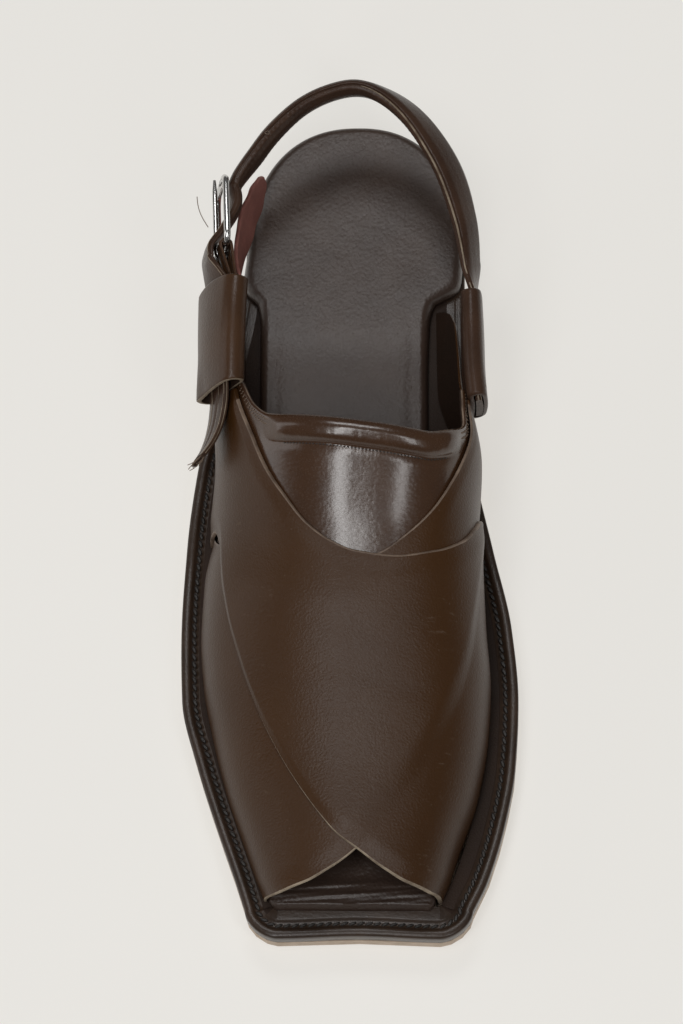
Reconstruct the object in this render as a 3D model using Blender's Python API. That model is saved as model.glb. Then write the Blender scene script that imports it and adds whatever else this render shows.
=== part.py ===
# Peshawari chappal, right shoe, in metres.
# +Z is up, the toe points to -Y, the medial side is +X.
# The origin is on the floor under the centre of the shoe's box.
# Shares along the sole run from 0 at the heel's end to 1 at the toe's end.
# Shares across are of the ball's breadth, lateral negative and medial positive.
# Round the girth, t runs from 0 at the medial foot of the upper to 1 at the lateral foot.

import math
from collections import namedtuple

import bpy
import bmesh
from mathutils import Vector

# Sole
SOLE_LENGTH = 0.277
BALL_BREADTH = 0.110
HEEL_LIFT_THICKNESS = 0.005
HEEL_BLOCK_HEIGHT = 0.009
HEEL_INSET = 0.0012
HEEL_LAYERS = 2
HEEL_GROOVE = 0.0004
HEEL_BREAST_HOLLOW = 0.003
HEEL_FRONT_STEPS = 3
TOE_SPRING = 0.005
OUTSOLE_THICKNESS = 0.0055
WELT_THICKNESS = 0.0055
WELT_RIM_WIDTH = 0.0023
WELT_GROOVE_WIDTH = 0.0026
WELT_GROOVE_DEPTH = 0.0011
FOOTBED_HEEL_THICKNESS = 0.0058
FOOTBED_TOE_THICKNESS = 0.0030
FOOTBED_EDGE_ROUND = 0.0030
FOOTBED_MARGIN = 0.0012
EDGE_ROUND = 0.0006
GAP = 0.0003

# Upper
INSTEP_RISE = 0.0620
LATERAL_DOME_POWER = 2.25
TUCK_POWER = 5.0
PANEL_WALL = 0.0020
PANEL_SINK = 0.0001
DRAPE_REACH = 0.0050
THROAT_WALL = 0.0018
THROAT_CLEARANCE = 0.0007
THROAT_ROLL_WIDTH = 0.0080
THROAT_ROLL_THICKNESS = 0.0054

# Straps and loops
LOOP_WALL = 0.0013
STRAP_WIDTH = 0.0135
STRAP_PAD = 0.0054
STRAP_END_THICKNESS = 0.0024
STRAP_EDGE = 0.0020

# Buckle
BUCKLE_LENGTH = 0.0255
BUCKLE_HEIGHT = 0.0215
BUCKLE_WIRE = 0.0022
BUCKLE_CORNER = 0.0035
PRONG_WIRE = 0.0017
CHAPE_THICKNESS = 0.0009
CHAPE_WIDTH = 0.0125
CHAPE_REACH = 0.0120
PRONG_SLOT = 0.0005
GUARD_THICKNESS = 0.0014
GUARD_HEIGHT = 0.0170

OutlineRow = namedtuple("OutlineRow", "along lateral medial")
LastRow = namedtuple("LastRow", "along lateral medial rise shift power tuck")
EdgeRow = namedtuple("EdgeRow", "t front rear")
StrapRow = namedtuple("StrapRow", "along across height lean pad")

# Edge of the sole from the heel's widest place to the toe's corners
SOLE_ROWS = (
    OutlineRow(0.170, -0.325, 0.336),
    OutlineRow(0.255, -0.350, 0.338),
    OutlineRow(0.340, -0.400, 0.345),
    OutlineRow(0.430, -0.461, 0.371),
    OutlineRow(0.520, -0.490, 0.423),
    OutlineRow(0.620, -0.500, 0.480),
    OutlineRow(0.710, -0.492, 0.500),
    OutlineRow(0.790, -0.441, 0.491),
    OutlineRow(0.860, -0.383, 0.461),
    OutlineRow(0.930, -0.320, 0.411),
    OutlineRow(0.966, -0.290, 0.370),
)
HEEL_ROUND_SHARE = 0.170
HEEL_ROUND_POWER = 2.3
HEEL_CENTRE = 0.010
TOE_CORNER_SHARE = 0.966
TOE_CORNER_POWER = 1.7
TOE_LATERAL = -0.195
TOE_MEDIAL = 0.275
TOE_HOLLOW = 0.0009
HEEL_BREAST_SHARE = 0.265
BALL_REAR_SHARE = 0.560
BALL_FRONT_SHARE = 0.740
GROOVE_START_SHARE = 0.300
GROOVE_FULL_SHARE = 0.370

# Edge of the footbed at its heel and waist; further on it follows the foot of the upper
FOOTBED_ROWS = (
    OutlineRow(0.170, -0.321, 0.332),
    OutlineRow(0.200, -0.327, 0.328),
    OutlineRow(0.216, -0.322, 0.318),
    OutlineRow(0.222, -0.312, 0.300),
    OutlineRow(0.227, -0.292, 0.262),
    OutlineRow(0.237, -0.281, 0.242),
    OutlineRow(0.256, -0.276, 0.233),
    OutlineRow(0.320, -0.274, 0.229),
    OutlineRow(0.400, -0.274, 0.231),
    OutlineRow(0.500, -0.320, 0.290),
    OutlineRow(0.580, -0.430, 0.400),
    OutlineRow(0.660, -0.500, 0.500),
)
FOOTBED_CORNER_SHARE = 0.945
FOOTBED_END_SHARE = 0.968
FOOTBED_TOE_LATERAL = -0.185
FOOTBED_TOE_MEDIAL = 0.240

# Reference surface under the panels: its feet on the welt, the ridge's height and sideways shift,
# how square its medial side is, and how far the feet are tucked in beside the footbed
LAST_ROWS = (
    LastRow(0.160, -0.430, 0.340, 0.900, 0.020, 3.3, 0.100),
    LastRow(0.250, -0.424, 0.346, 0.935, 0.025, 3.3, 0.100),
    LastRow(0.340, -0.414, 0.350, 0.980, 0.030, 3.3, 0.098),
    LastRow(0.400, -0.406, 0.364, 1.000, 0.035, 3.3, 0.060),
    LastRow(0.450, -0.395, 0.384, 0.975, 0.040, 3.2, 0.020),
    LastRow(0.510, -0.402, 0.374, 0.915, 0.040, 3.1, 0.000),
    LastRow(0.570, -0.420, 0.379, 0.835, 0.040, 3.0, 0.000),
    LastRow(0.640, -0.427, 0.389, 0.745, 0.035, 2.8, 0.000),
    LastRow(0.700, -0.415, 0.401, 0.665, 0.030, 2.7, 0.000),
    LastRow(0.760, -0.384, 0.394, 0.590, 0.025, 2.6, 0.000),
    LastRow(0.830, -0.337, 0.365, 0.500, 0.020, 2.5, 0.000),
    LastRow(0.900, -0.275, 0.309, 0.430, 0.015, 2.5, 0.000),
    LastRow(0.960, -0.223, 0.267, 0.370, 0.010, 2.5, 0.000),
    LastRow(1.000, -0.198, 0.245, 0.340, 0.010, 2.5, 0.000),)

# Front and rear edges of the top panel, round the girth; a loop's end stops the rear edge
TOP_PANEL_ROWS = (
    EdgeRow(0.000, 0.957, 0.500),
    EdgeRow(0.128, 0.958, 0.518),
    EdgeRow(0.180, 0.959, 0.538),
    EdgeRow(0.242, 0.957, 0.565),
    EdgeRow(0.309, 0.953, 0.583),
    EdgeRow(0.400, 0.939, 0.593),
    EdgeRow(0.490, 0.918, 0.588),
    EdgeRow(0.547, 0.903, 0.576),
    EdgeRow(0.596, 0.879, 0.557),
    EdgeRow(0.650, 0.839, 0.525),
    EdgeRow(0.708, 0.773, 0.484),
    EdgeRow(0.750, 0.694, 0.442),
    EdgeRow(0.776, 0.643, 0.404),
    EdgeRow(0.790, 0.618, 0.375),
    EdgeRow(0.834, 0.553, 0.375),
    EdgeRow(0.880, 0.530, 0.340),
    EdgeRow(0.905, 0.526, 0.272),
    EdgeRow(0.945, 0.523, 0.250),
    EdgeRow(1.000, 0.521, 0.240),
)

# Front and rear edges of the panel under it, which crosses the other way
UNDER_PANEL_ROWS = (
    EdgeRow(0.000, 0.530, 0.240),
    EdgeRow(0.025, 0.535, 0.246),
    EdgeRow(0.050, 0.541, 0.264),
    EdgeRow(0.075, 0.547, 0.345),
    EdgeRow(0.120, 0.570, 0.388),
    EdgeRow(0.160, 0.605, 0.388),
    EdgeRow(0.190, 0.645, 0.428),
    EdgeRow(0.216, 0.685, 0.457),
    EdgeRow(0.258, 0.745, 0.499),
    EdgeRow(0.320, 0.810, 0.543),
    EdgeRow(0.383, 0.860, 0.573),
    EdgeRow(0.437, 0.893, 0.591),
    EdgeRow(0.491, 0.918, 0.597),
    EdgeRow(0.576, 0.939, 0.594),
    EdgeRow(0.681, 0.954, 0.580),
    EdgeRow(0.821, 0.960, 0.556),
    EdgeRow(0.953, 0.957, 0.520),
    EdgeRow(1.000, 0.956, 0.507),
)

# Front and rear edges of the throat panel; its rear ends reach in under the loops
THROAT_ROWS = (
    EdgeRow(0.090, 0.570, 0.412),
    EdgeRow(0.105, 0.578, 0.380),
    EdgeRow(0.150, 0.590, 0.376),
    EdgeRow(0.180, 0.600, 0.402),
    EdgeRow(0.209, 0.610, 0.432),
    EdgeRow(0.254, 0.625, 0.446),
    EdgeRow(0.330, 0.645, 0.458),
    EdgeRow(0.441, 0.650, 0.453),
    EdgeRow(0.608, 0.645, 0.442),
    EdgeRow(0.709, 0.625, 0.430),
    EdgeRow(0.745, 0.612, 0.414),
    EdgeRow(0.776, 0.602, 0.383),
    EdgeRow(0.800, 0.595, 0.362),
    EdgeRow(0.850, 0.585, 0.362),
    EdgeRow(0.880, 0.575, 0.400),
    EdgeRow(0.915, 0.565, 0.415),
)
THROAT_START_T = 0.090
THROAT_END_T = 0.915
ROLL_START_T = 0.222
ROLL_FULL_T = 0.285
ROLL_END_FULL_T = 0.660
ROLL_END_T = 0.728

# Where each loop sits round the girth and along the sole
LoopPlace = namedtuple("LoopPlace", "rear_t front_t rear front height inner_wall")
LATERAL_LOOP = LoopPlace(0.786, 0.808, 0.270, 0.386, 0.0250, LOOP_WALL)
MEDIAL_LOOP = LoopPlace(0.132, 0.130, 0.265, 0.392, 0.0220, PANEL_WALL)

# Middle of the heel strap from the medial loop to the buckle: share along, share across, height,
# lean of its top edge towards the foot in degrees, and 1 where it is padded, 0 where flat
STRAP_ROWS = (
    StrapRow(0.225, 0.360, 0.0514, 20.0, 0.4),
    StrapRow(0.175, 0.342, 0.0562, 32.0, 1.0),
    StrapRow(0.125, 0.304, 0.0616, 42.0, 1.0),
    StrapRow(0.088, 0.252, 0.0660, 44.0, 1.0),
    StrapRow(0.055, 0.184, 0.0692, 38.0, 1.0),
    StrapRow(0.032, 0.104, 0.0710, 28.0, 1.0),
    StrapRow(0.022, 0.022, 0.0716, 20.0, 1.0),
    StrapRow(0.028, -0.064, 0.0711, 18.0, 1.0),
    StrapRow(0.045, -0.147, 0.0701, 14.0, 1.0),
    StrapRow(0.074, -0.224, 0.0688, 9.0, 1.0),
    StrapRow(0.102, -0.278, 0.0672, 6.0, 0.9),
)
TAIL_T = 0.820
TAIL_END_SHARE = 0.452
TAIL_END_DROP = 0.0075
TAIL_END_LIFT = 0.0055
BUCKLE_SHARE = 0.178
BUCKLE_ACROSS = -0.374
BUCKLE_Z = 0.0640
BUCKLE_LEAN = 12.0
BUCKLE_TURN = -3.0
PRONG_REACH = 0.0020
PRONG_HOOK = 200.0

# Middle of the buckle guard from its free end to the lateral loop, with its height as a share of
# the full one in the last column
GUARD_ROWS = (
    StrapRow(0.098, -0.266, 0.0466, -9.0, 0.30),
    StrapRow(0.108, -0.274, 0.0467, -9.0, 0.66),
    StrapRow(0.128, -0.290, 0.0470, -9.0, 0.90),
    StrapRow(0.155, -0.310, 0.0480, -9.0, 1.0),
    StrapRow(0.195, -0.330, 0.0500, -5.0, 1.0),
    StrapRow(0.240, -0.340, 0.0530, 8.0, 1.0),
)
GUARD_T = 0.800
GUARD_SEAT_SHARE = 0.300


def clear_scene():
    for old in list(bpy.data.objects):
        bpy.data.objects.remove(old, do_unlink=True)


def material(name, colour, roughness, metallic=0.0):
    mat = bpy.data.materials.new(name)
    mat.use_nodes = True
    shader = mat.node_tree.nodes["Principled BSDF"]
    shader.inputs["Base Color"].default_value = (*colour, 1.0)
    shader.inputs["Roughness"].default_value = roughness
    shader.inputs["Metallic"].default_value = metallic
    mat.diffuse_color = (*colour, 1.0)
    return mat


def smooth_step(low, high, value):
    u = min(max((value - low) / (high - low), 0.0), 1.0)
    return u * u * (3.0 - 2.0 * u)


def curve(rows, column, at):
    """A smooth curve through one column of a table, with no overshoot between its rows."""
    keys = [row[0] for row in rows]
    values = [getattr(row, column) for row in rows]
    at = min(max(at, keys[0]), keys[-1])
    steps = [keys[i + 1] - keys[i] for i in range(len(keys) - 1)]
    rates = [(values[i + 1] - values[i]) / steps[i] for i in range(len(steps))]
    slopes = [rates[0]]
    for before, after in zip(rates, rates[1:]):
        slopes.append(0.0 if before * after <= 0.0 else 2.0 * before * after / (before + after))
    slopes.append(rates[-1])
    i = 0
    while i < len(steps) - 1 and at > keys[i + 1]:
        i += 1
    u = (at - keys[i]) / steps[i]
    start = values[i] * (1.0 + 2.0 * u) * (1.0 - u) ** 2 + slopes[i] * steps[i] * u * (1.0 - u) ** 2
    end = values[i + 1] * u * u * (3.0 - 2.0 * u) - slopes[i + 1] * steps[i] * u * u * (1.0 - u)
    return start + end


def along(share):
    return SOLE_LENGTH * (0.5 - share)


def share_of(y):
    return 0.5 - y / SOLE_LENGTH


def across(share):
    return BALL_BREADTH * share


def heel_height():
    return HEEL_LIFT_THICKNESS + HEEL_BLOCK_HEIGHT + 2.0 * GAP


def outsole_bottom(share):
    arch = 1.0 - smooth_step(HEEL_BREAST_SHARE, BALL_REAR_SHARE, share)
    toe = max(share - BALL_FRONT_SHARE, 0.0) / (1.0 - BALL_FRONT_SHARE)
    return heel_height() * arch + TOE_SPRING * toe * toe


def welt_bottom(share):
    return outsole_bottom(share) + OUTSOLE_THICKNESS + GAP


def welt_top(share):
    return welt_bottom(share) + WELT_THICKNESS


def last_point(t, share):
    """A point of the surface that the panels lie on, t round the girth and share along the sole."""
    lateral = across(curve(LAST_ROWS, "lateral", share))
    medial = across(curve(LAST_ROWS, "medial", share))
    rise = INSTEP_RISE * curve(LAST_ROWS, "rise", share)
    shift = across(curve(LAST_ROWS, "shift", share))
    angle = math.pi * min(max(t, 0.0), 1.0)
    side = math.cos(angle)
    lift = math.sin(angle)
    power = curve(LAST_ROWS, "power", share) if side > 0.0 else LATERAL_DOME_POWER
    reach = (abs(side) ** power + abs(lift) ** power) ** (-1.0 / power)
    x = (medial + lateral) / 2.0 + (medial - lateral) / 2.0 * side * reach + shift * lift * lift
    tuck = across(curve(LAST_ROWS, "tuck", share)) * (1.0 - lift) ** TUCK_POWER
    x -= math.copysign(tuck, side)
    return Vector((x, along(share), welt_top(share) + GAP + rise * lift * reach))


def last_normal(t, share):
    step = 0.004
    t = min(max(t, 2.0 * step), 1.0 - 2.0 * step)
    round_girth = last_point(t + step, share) - last_point(t - step, share)
    forward = last_point(t, share + step) - last_point(t, share - step)
    return round_girth.cross(forward).normalized()


def on_last(t, share, offset):
    point = last_point(t, share) + last_normal(t, share) * offset
    point.z = max(point.z, welt_top(share_of(point.y)) + GAP)
    return point


def beside(t, share, distance):
    """The t that lies a distance up the wall from another t: towards the ridge on either side."""
    step = 0.01
    speed = (last_point(t + step, share) - last_point(t - step, share)).length / (2.0 * step)
    upward = 1.0 if t < 0.5 else -1.0
    return t + upward * distance / speed


def solid(name, points, faces, mat, sharp=35.0):
    mesh = bpy.data.meshes.new(name)
    work = bmesh.new()
    made = [work.verts.new(point) for point in points]
    for face in faces:
        work.faces.new([made[i] for i in face])
    bmesh.ops.recalc_face_normals(work, faces=work.faces)
    work.to_mesh(mesh)
    work.free()
    mesh.shade_smooth()
    mesh.set_sharp_from_angle(angle=math.radians(sharp))
    mesh.materials.append(mat)
    made_object = bpy.data.objects.new(name, mesh)
    bpy.context.scene.collection.objects.link(made_object)
    return made_object


def rung_cap(start, count, front_steps):
    """Faces that close a ring: rungs from side to side, and one face along the front line."""
    half = count // 2
    reach = front_steps + 1
    faces = [(start, start + 1, start + count - 1)]
    for k in range(1, half - reach):
        faces.append((start + k, start + k + 1, start + count - k - 1, start + count - k))
    faces.append(tuple(range(start + half - reach, start + half + reach + 1)))
    return faces


def bands(ring_count, size, first=0):
    faces = []
    for ring in range(ring_count - 1):
        low = first + ring * size
        for k in range(size):
            after = (k + 1) % size
            faces.append((low + k, low + after, low + size + after, low + size + k))
    return faces


def stack(name, rings, mat, front_steps=2):
    """A solid made of rings on top of each other, closed across the foot at both ends."""
    size = len(rings[0])
    points = [point for ring in rings for point in ring]
    faces = bands(len(rings), size)
    faces += rung_cap(0, size, front_steps)
    faces += rung_cap(size * (len(rings) - 1), size, front_steps)
    return solid(name, points, faces, mat)


def sheet(name, outer, inner, mat):
    """A closed wall between two grids of points."""
    rows = len(outer)
    columns = len(outer[0])
    count = rows * columns
    points = [p for row in outer for p in row] + [p for row in inner for p in row]
    faces = []
    for i in range(rows - 1):
        for j in range(columns - 1):
            a = i * columns + j
            quad = (a, a + 1, a + columns + 1, a + columns)
            faces.append(quad)
            faces.append(tuple(count + k for k in reversed(quad)))
    border = [j for j in range(columns)]
    border += [i * columns + columns - 1 for i in range(1, rows)]
    border += [(rows - 1) * columns + j for j in range(columns - 2, -1, -1)]
    border += [i * columns for i in range(rows - 2, 0, -1)]
    for k, a in enumerate(border):
        b = border[(k + 1) % len(border)]
        faces.append((b, a, count + a, count + b))
    return solid(name, points, faces, mat)


def sweep(name, rings, mat, sharp=50.0):
    """A solid bar through a row of closed sections."""
    size = len(rings[0])
    points = [point for ring in rings for point in ring]
    last = size * (len(rings) - 1)
    faces = bands(len(rings), size)
    faces.append(tuple(range(size)))
    faces.append(tuple(range(last, last + size)))
    return solid(name, points, faces, mat, sharp)


def closed_sweep(name, rings, mat):
    """A bar whose last section meets its first one, such as a ring or a frame."""
    size = len(rings[0])
    count = len(rings)
    points = [point for ring in rings for point in ring]
    faces = []
    for ring in range(count):
        low = ring * size
        high = (ring + 1) % count * size
        for k in range(size):
            after = (k + 1) % size
            faces.append((low + k, low + after, high + after, high + k))
    return solid(name, points, faces, mat, 60.0)


def tube(name, outer, inner, mat):
    """An open tube between two rows of closed sections."""
    size = len(outer[0])
    count = len(outer)
    offset = size * count
    points = [p for ring in outer for p in ring] + [p for ring in inner for p in ring]
    faces = bands(count, size) + bands(count, size, offset)
    for end in (0, (count - 1) * size):
        for k in range(size):
            after = (k + 1) % size
            faces.append((end + k, end + after, offset + end + after, offset + end + k))
    return solid(name, points, faces, mat)


Ends = namedtuple("Ends", "front corner power lateral medial hollow")
SOLE_ENDS = Ends(1.0, TOE_CORNER_SHARE, TOE_CORNER_POWER, TOE_LATERAL, TOE_MEDIAL, TOE_HOLLOW)
FOOTBED_ENDS = Ends(FOOTBED_END_SHARE, FOOTBED_CORNER_SHARE, 2.0,
                    FOOTBED_TOE_LATERAL, FOOTBED_TOE_MEDIAL, 0.0)


def half_outline(edge, side, ends, heel_steps=8, side_steps=20, corner_steps=4, line_steps=2):
    """Points (share along, share across) from the heel's centre round one side to the front's centre."""
    points = []
    widest = edge(HEEL_ROUND_SHARE, side)
    for k in range(heel_steps):
        angle = math.pi / 2.0 * k / heel_steps
        power = 2.0 / HEEL_ROUND_POWER
        share = HEEL_ROUND_SHARE * (1.0 - math.cos(angle) ** power)
        points.append((share, HEEL_CENTRE + (widest - HEEL_CENTRE) * math.sin(angle) ** power))
    for k in range(side_steps + 1):
        share = HEEL_ROUND_SHARE + (ends.corner - HEEL_ROUND_SHARE) * k / side_steps
        points.append((share, edge(share, side)))
    inner = getattr(ends, side)
    if ends.front > ends.corner:
        outer = edge(ends.corner, side)
        for k in range(1, corner_steps + 1):
            angle = math.pi / 2.0 * k / corner_steps
            power = 2.0 / ends.power
            share = ends.corner + (ends.front - ends.corner) * math.sin(angle) ** power
            points.append((share, inner + (outer - inner) * max(math.cos(angle), 0.0) ** power))
    else:
        inner = points[-1][1]
    middle = (ends.lateral + ends.medial) / 2.0
    for k in range(1, line_steps + 1):
        u = k / line_steps
        dent = ends.hollow / SOLE_LENGTH * math.sin(math.pi / 2.0 * u) ** 2
        points.append((ends.front - dent, inner + (middle - inner) * u))
    return points


def outline(edge, ends, **steps):
    """A closed ring of (x, y): heel centre, lateral side, front centre, medial side."""
    lateral = half_outline(edge, "lateral", ends, **steps)
    medial = half_outline(edge, "medial", ends, **steps)
    shares = lateral + medial[-2:0:-1]
    return [(across(x), along(share)) for share, x in shares]


def inset(ring, distance):
    """The ring moved inwards along its own normals."""
    moved = []
    count = len(ring)
    for k, (x, y) in enumerate(ring):
        x0, y0 = ring[k - 1]
        x1, y1 = ring[(k + 1) % count]
        dx = x1 - x0
        dy = y1 - y0
        length = math.hypot(dx, dy)
        moved.append((x - dy / length * distance, y + dx / length * distance))
    return moved


def at_height(ring, height):
    return [Vector((x, y, height(share_of(y)))) for x, y in ring]


def sole_edge(share, side):
    return curve(SOLE_ROWS, side, share)


def footbed_edge(share, side):
    sign = -1.0 if side == "lateral" else 1.0
    table = sign * curve(FOOTBED_ROWS, side, share)
    foot = sign * curve(LAST_ROWS, side, share) - FOOTBED_MARGIN / BALL_BREADTH
    sole = sign * sole_edge(share, side) - GAP / BALL_BREADTH
    limit = sole if share < GROOVE_START_SHARE else foot
    return sign * min(table, limit)


def make_outsole(mat):
    ring = outline(sole_edge, SOLE_ENDS)
    rounded = EDGE_ROUND + 0.0004
    top = OUTSOLE_THICKNESS
    rings = [
        at_height(inset(ring, rounded), outsole_bottom),
        at_height(ring, lambda s: outsole_bottom(s) + rounded),
        at_height(ring, lambda s: outsole_bottom(s) + top),
    ]
    return stack("outsole", rings, mat)


def make_welt(mat):
    ring = outline(sole_edge, SOLE_ENDS)
    groove_out = EDGE_ROUND + WELT_RIM_WIDTH
    wall = 0.0004
    groove_in = groove_out + WELT_GROOVE_WIDTH

    def groove(share):
        return WELT_GROOVE_DEPTH * smooth_step(GROOVE_START_SHARE, GROOVE_FULL_SHARE, share)

    def platform(share):
        return welt_top(share) - 0.3 * groove(share)

    rings = [
        at_height(inset(ring, EDGE_ROUND), welt_bottom),
        at_height(ring, lambda s: welt_bottom(s) + EDGE_ROUND),
        at_height(ring, lambda s: welt_top(s) - EDGE_ROUND),
        at_height(inset(ring, EDGE_ROUND), welt_top),
        at_height(inset(ring, groove_out), welt_top),
        at_height(inset(ring, groove_out + wall), lambda s: welt_top(s) - groove(s)),
        at_height(inset(ring, groove_in), lambda s: welt_top(s) - groove(s)),
        at_height(inset(ring, groove_in + wall), platform),
    ]
    return stack("welt", rings, mat)


def heel_ends(share):
    lateral = sole_edge(share, "lateral")
    return Ends(share, share, 2.0, lateral, sole_edge(share, "medial"), HEEL_BREAST_HOLLOW)


def heel_ring(breast_share):
    return outline(sole_edge, heel_ends(breast_share), side_steps=4, line_steps=HEEL_FRONT_STEPS)


def make_heel_block(mat):
    low = HEEL_LIFT_THICKNESS + GAP
    layer = HEEL_BLOCK_HEIGHT / HEEL_LAYERS
    ring = inset(heel_ring(HEEL_BREAST_SHARE), HEEL_INSET / 2.0)
    rings = []
    for k in range(HEEL_LAYERS):
        base = low + layer * k
        for rise, dent in ((0.0, HEEL_GROOVE), (HEEL_GROOVE, 0.0),
                           (layer - HEEL_GROOVE, 0.0), (layer, HEEL_GROOVE)):
            if rise == 0.0 and k > 0:
                continue
            rings.append(at_height(inset(ring, dent), lambda s, z=base + rise: z))
    return stack("heel_block", rings, mat, HEEL_FRONT_STEPS)


def make_heel_lift(mat):
    ring = inset(heel_ring(HEEL_BREAST_SHARE), HEEL_INSET)
    rings = [
        at_height(inset(ring, EDGE_ROUND), lambda s: 0.0),
        at_height(ring, lambda s: EDGE_ROUND),
        at_height(ring, lambda s: HEEL_LIFT_THICKNESS),
    ]
    return stack("heel_top_lift", rings, mat, HEEL_FRONT_STEPS)


def footbed_thickness(share):
    blend = smooth_step(0.42, 0.62, share)
    return FOOTBED_HEEL_THICKNESS + (FOOTBED_TOE_THICKNESS - FOOTBED_HEEL_THICKNESS) * blend


def make_footbed(mat):
    ring = outline(footbed_edge, FOOTBED_ENDS, side_steps=26)

    def height(part):
        return lambda s: welt_top(s) + GAP + footbed_thickness(s) * part

    def edge(part):
        return inset(ring, FOOTBED_EDGE_ROUND * part)

    rings = [
        at_height(edge(0.08), height(0.0)),
        at_height(edge(0.0), height(0.30)),
        at_height(edge(0.12), height(0.66)),
        at_height(edge(0.42), height(0.90)),
        at_height(edge(1.0), height(1.0)),
    ]
    return stack("footbed", rings, mat)


def rear_edge(rows, t):
    """The rear edge of a panel or the end of the loop behind it, whichever is further forward."""
    edge = curve(rows, "rear", t)
    for loop in (LATERAL_LOOP, MEDIAL_LOOP):
        half = abs(beside(loop.front_t, loop.front, loop.height / 2.0) - loop.front_t)
        stop = 1.0 - smooth_step(half + 0.004, half + 0.012, abs(t - loop.front_t))
        edge = max(edge, edge + (loop.front + GAP / SOLE_LENGTH - edge) * stop)
    return edge


def panel_grid(rows, offset, t_start, t_end, t_steps, s_steps):
    grid = []
    for i in range(t_steps + 1):
        t = t_start + (t_end - t_start) * i / t_steps
        front = curve(rows, "front", t)
        rear = rear_edge(rows, t)
        line = []
        for j in range(s_steps + 1):
            share = front + (rear - front) * j / s_steps
            line.append(on_last(t, share, offset(t, share)))
        grid.append(line)
    return grid


def drape(t, share):
    """How far the top panel rides up on the panel under it: 1 over it, 0 beside it."""
    front = curve(UNDER_PANEL_ROWS, "front", t)
    rear = curve(UNDER_PANEL_ROWS, "rear", t)
    reach = DRAPE_REACH / SOLE_LENGTH
    ahead = smooth_step(-reach, reach, front - share)
    behind = smooth_step(-reach, reach, share - rear)
    return ahead * behind


def make_upper(mat):
    ride = PANEL_WALL - PANEL_SINK

    def top_inner(t, share):
        return ride * drape(t, share)

    def top_outer(t, share):
        return top_inner(t, share) + PANEL_WALL

    top_grid = {"t_start": 0.0, "t_end": 1.0, "t_steps": 40, "s_steps": 11}
    under_grid = {"t_start": 0.004, "t_end": 0.996, "t_steps": 40, "s_steps": 11}
    upper = sheet("upper", panel_grid(TOP_PANEL_ROWS, top_outer, **top_grid),
                  panel_grid(TOP_PANEL_ROWS, top_inner, **top_grid), mat)
    under = sheet("under_panel", panel_grid(UNDER_PANEL_ROWS, lambda t, s: PANEL_WALL, **under_grid),
                  panel_grid(UNDER_PANEL_ROWS, lambda t, s: 0.0, **under_grid), mat)
    under.hide_render = True
    under.display_type = "WIRE"
    join = upper.modifiers.new("join", "BOOLEAN")
    join.operation = "UNION"
    join.solver = "EXACT"
    join.object = under
    return upper


def roll_amount(t):
    rising = smooth_step(ROLL_START_T, ROLL_FULL_T, t)
    return rising * (1.0 - smooth_step(ROLL_END_FULL_T, ROLL_END_T, t))


def make_throat_panel(mat):
    flat = THROAT_WALL / 2.0
    full = THROAT_ROLL_THICKNESS / 2.0
    middle = -THROAT_CLEARANCE - flat
    # Distance from the rear edge as a share of the roll's width, and half the thickness there
    roll_shape = ((0.0, 0.25), (0.14, 0.72), (0.38, 1.0), (0.66, 0.92), (0.88, 0.55), (1.0, 0.30), (1.12, 0.33))
    t_steps = 28
    front_steps = 4
    outer = []
    inner = []
    for i in range(t_steps + 1):
        t = THROAT_START_T + (THROAT_END_T - THROAT_START_T) * i / t_steps
        front = curve(THROAT_ROWS, "front", t)
        rear = curve(THROAT_ROWS, "rear", t)
        amount = roll_amount(t)
        outer_line = []
        inner_line = []
        for distance, part in roll_shape:
            share = rear + distance * THROAT_ROLL_WIDTH / SOLE_LENGTH
            half = flat + (full * part - flat) * amount
            outer_line.append(on_last(t, share, middle + half))
            inner_line.append(on_last(t, share, middle - half))
        start = rear + roll_shape[-1][0] * THROAT_ROLL_WIDTH / SOLE_LENGTH
        for k in range(1, front_steps + 1):
            share = start + (front - start) * k / front_steps
            outer_line.append(on_last(t, share, middle + flat))
            inner_line.append(on_last(t, share, middle - flat))
        outer.append(outer_line)
        inner.append(inner_line)
    return sheet("throat_panel", outer, inner, mat)


def chape_space():
    """Thickness of the folded chape with a gap under it and one between its layers."""
    return 2.0 * (CHAPE_THICKNESS + GAP)


def loop_roof(loop, chape):
    """Offset of the inside of a loop's outer wall, over the flat strap and any chape."""
    return loop.inner_wall + chape + STRAP_END_THICKNESS + 2.0 * GAP


def strap_offset(under):
    """Offset of the middle of the flat strap over something that thick."""
    return under + GAP + STRAP_END_THICKNESS / 2.0


def round_section(height, thickness, steps=3):
    """A flat section with round edges: (distance up, distance out) of its points."""
    radius = thickness / 2.0
    reach = height / 2.0 - radius
    points = []
    for end, start in ((1.0, -math.pi / 2.0), (-1.0, math.pi / 2.0)):
        for k in range(steps + 1):
            angle = start + math.pi * k / steps
            points.append((end * reach + radius * math.cos(angle), radius * math.sin(angle)))
    return points


def densify(section):
    """The section with a point more on each of its two long sides, so that it bends with the last."""
    half = len(section) // 2
    out = []
    for k, point in enumerate(section):
        out.append(point)
        if k in (half - 1, len(section) - 1):
            after = section[(k + 1) % len(section)]
            for u in (0.25, 0.5, 0.75):
                out.append((point[0] + (after[0] - point[0]) * u, point[1] + (after[1] - point[1]) * u))
    return out


def section_on_last(t, share, offset, section):
    return [on_last(beside(t, share, up), share, offset + out) for up, out in section]


def loop_t(loop, share):
    part = (share - loop.rear) / (loop.front - loop.rear)
    return loop.rear_t + (loop.front_t - loop.rear_t) * part


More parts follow.
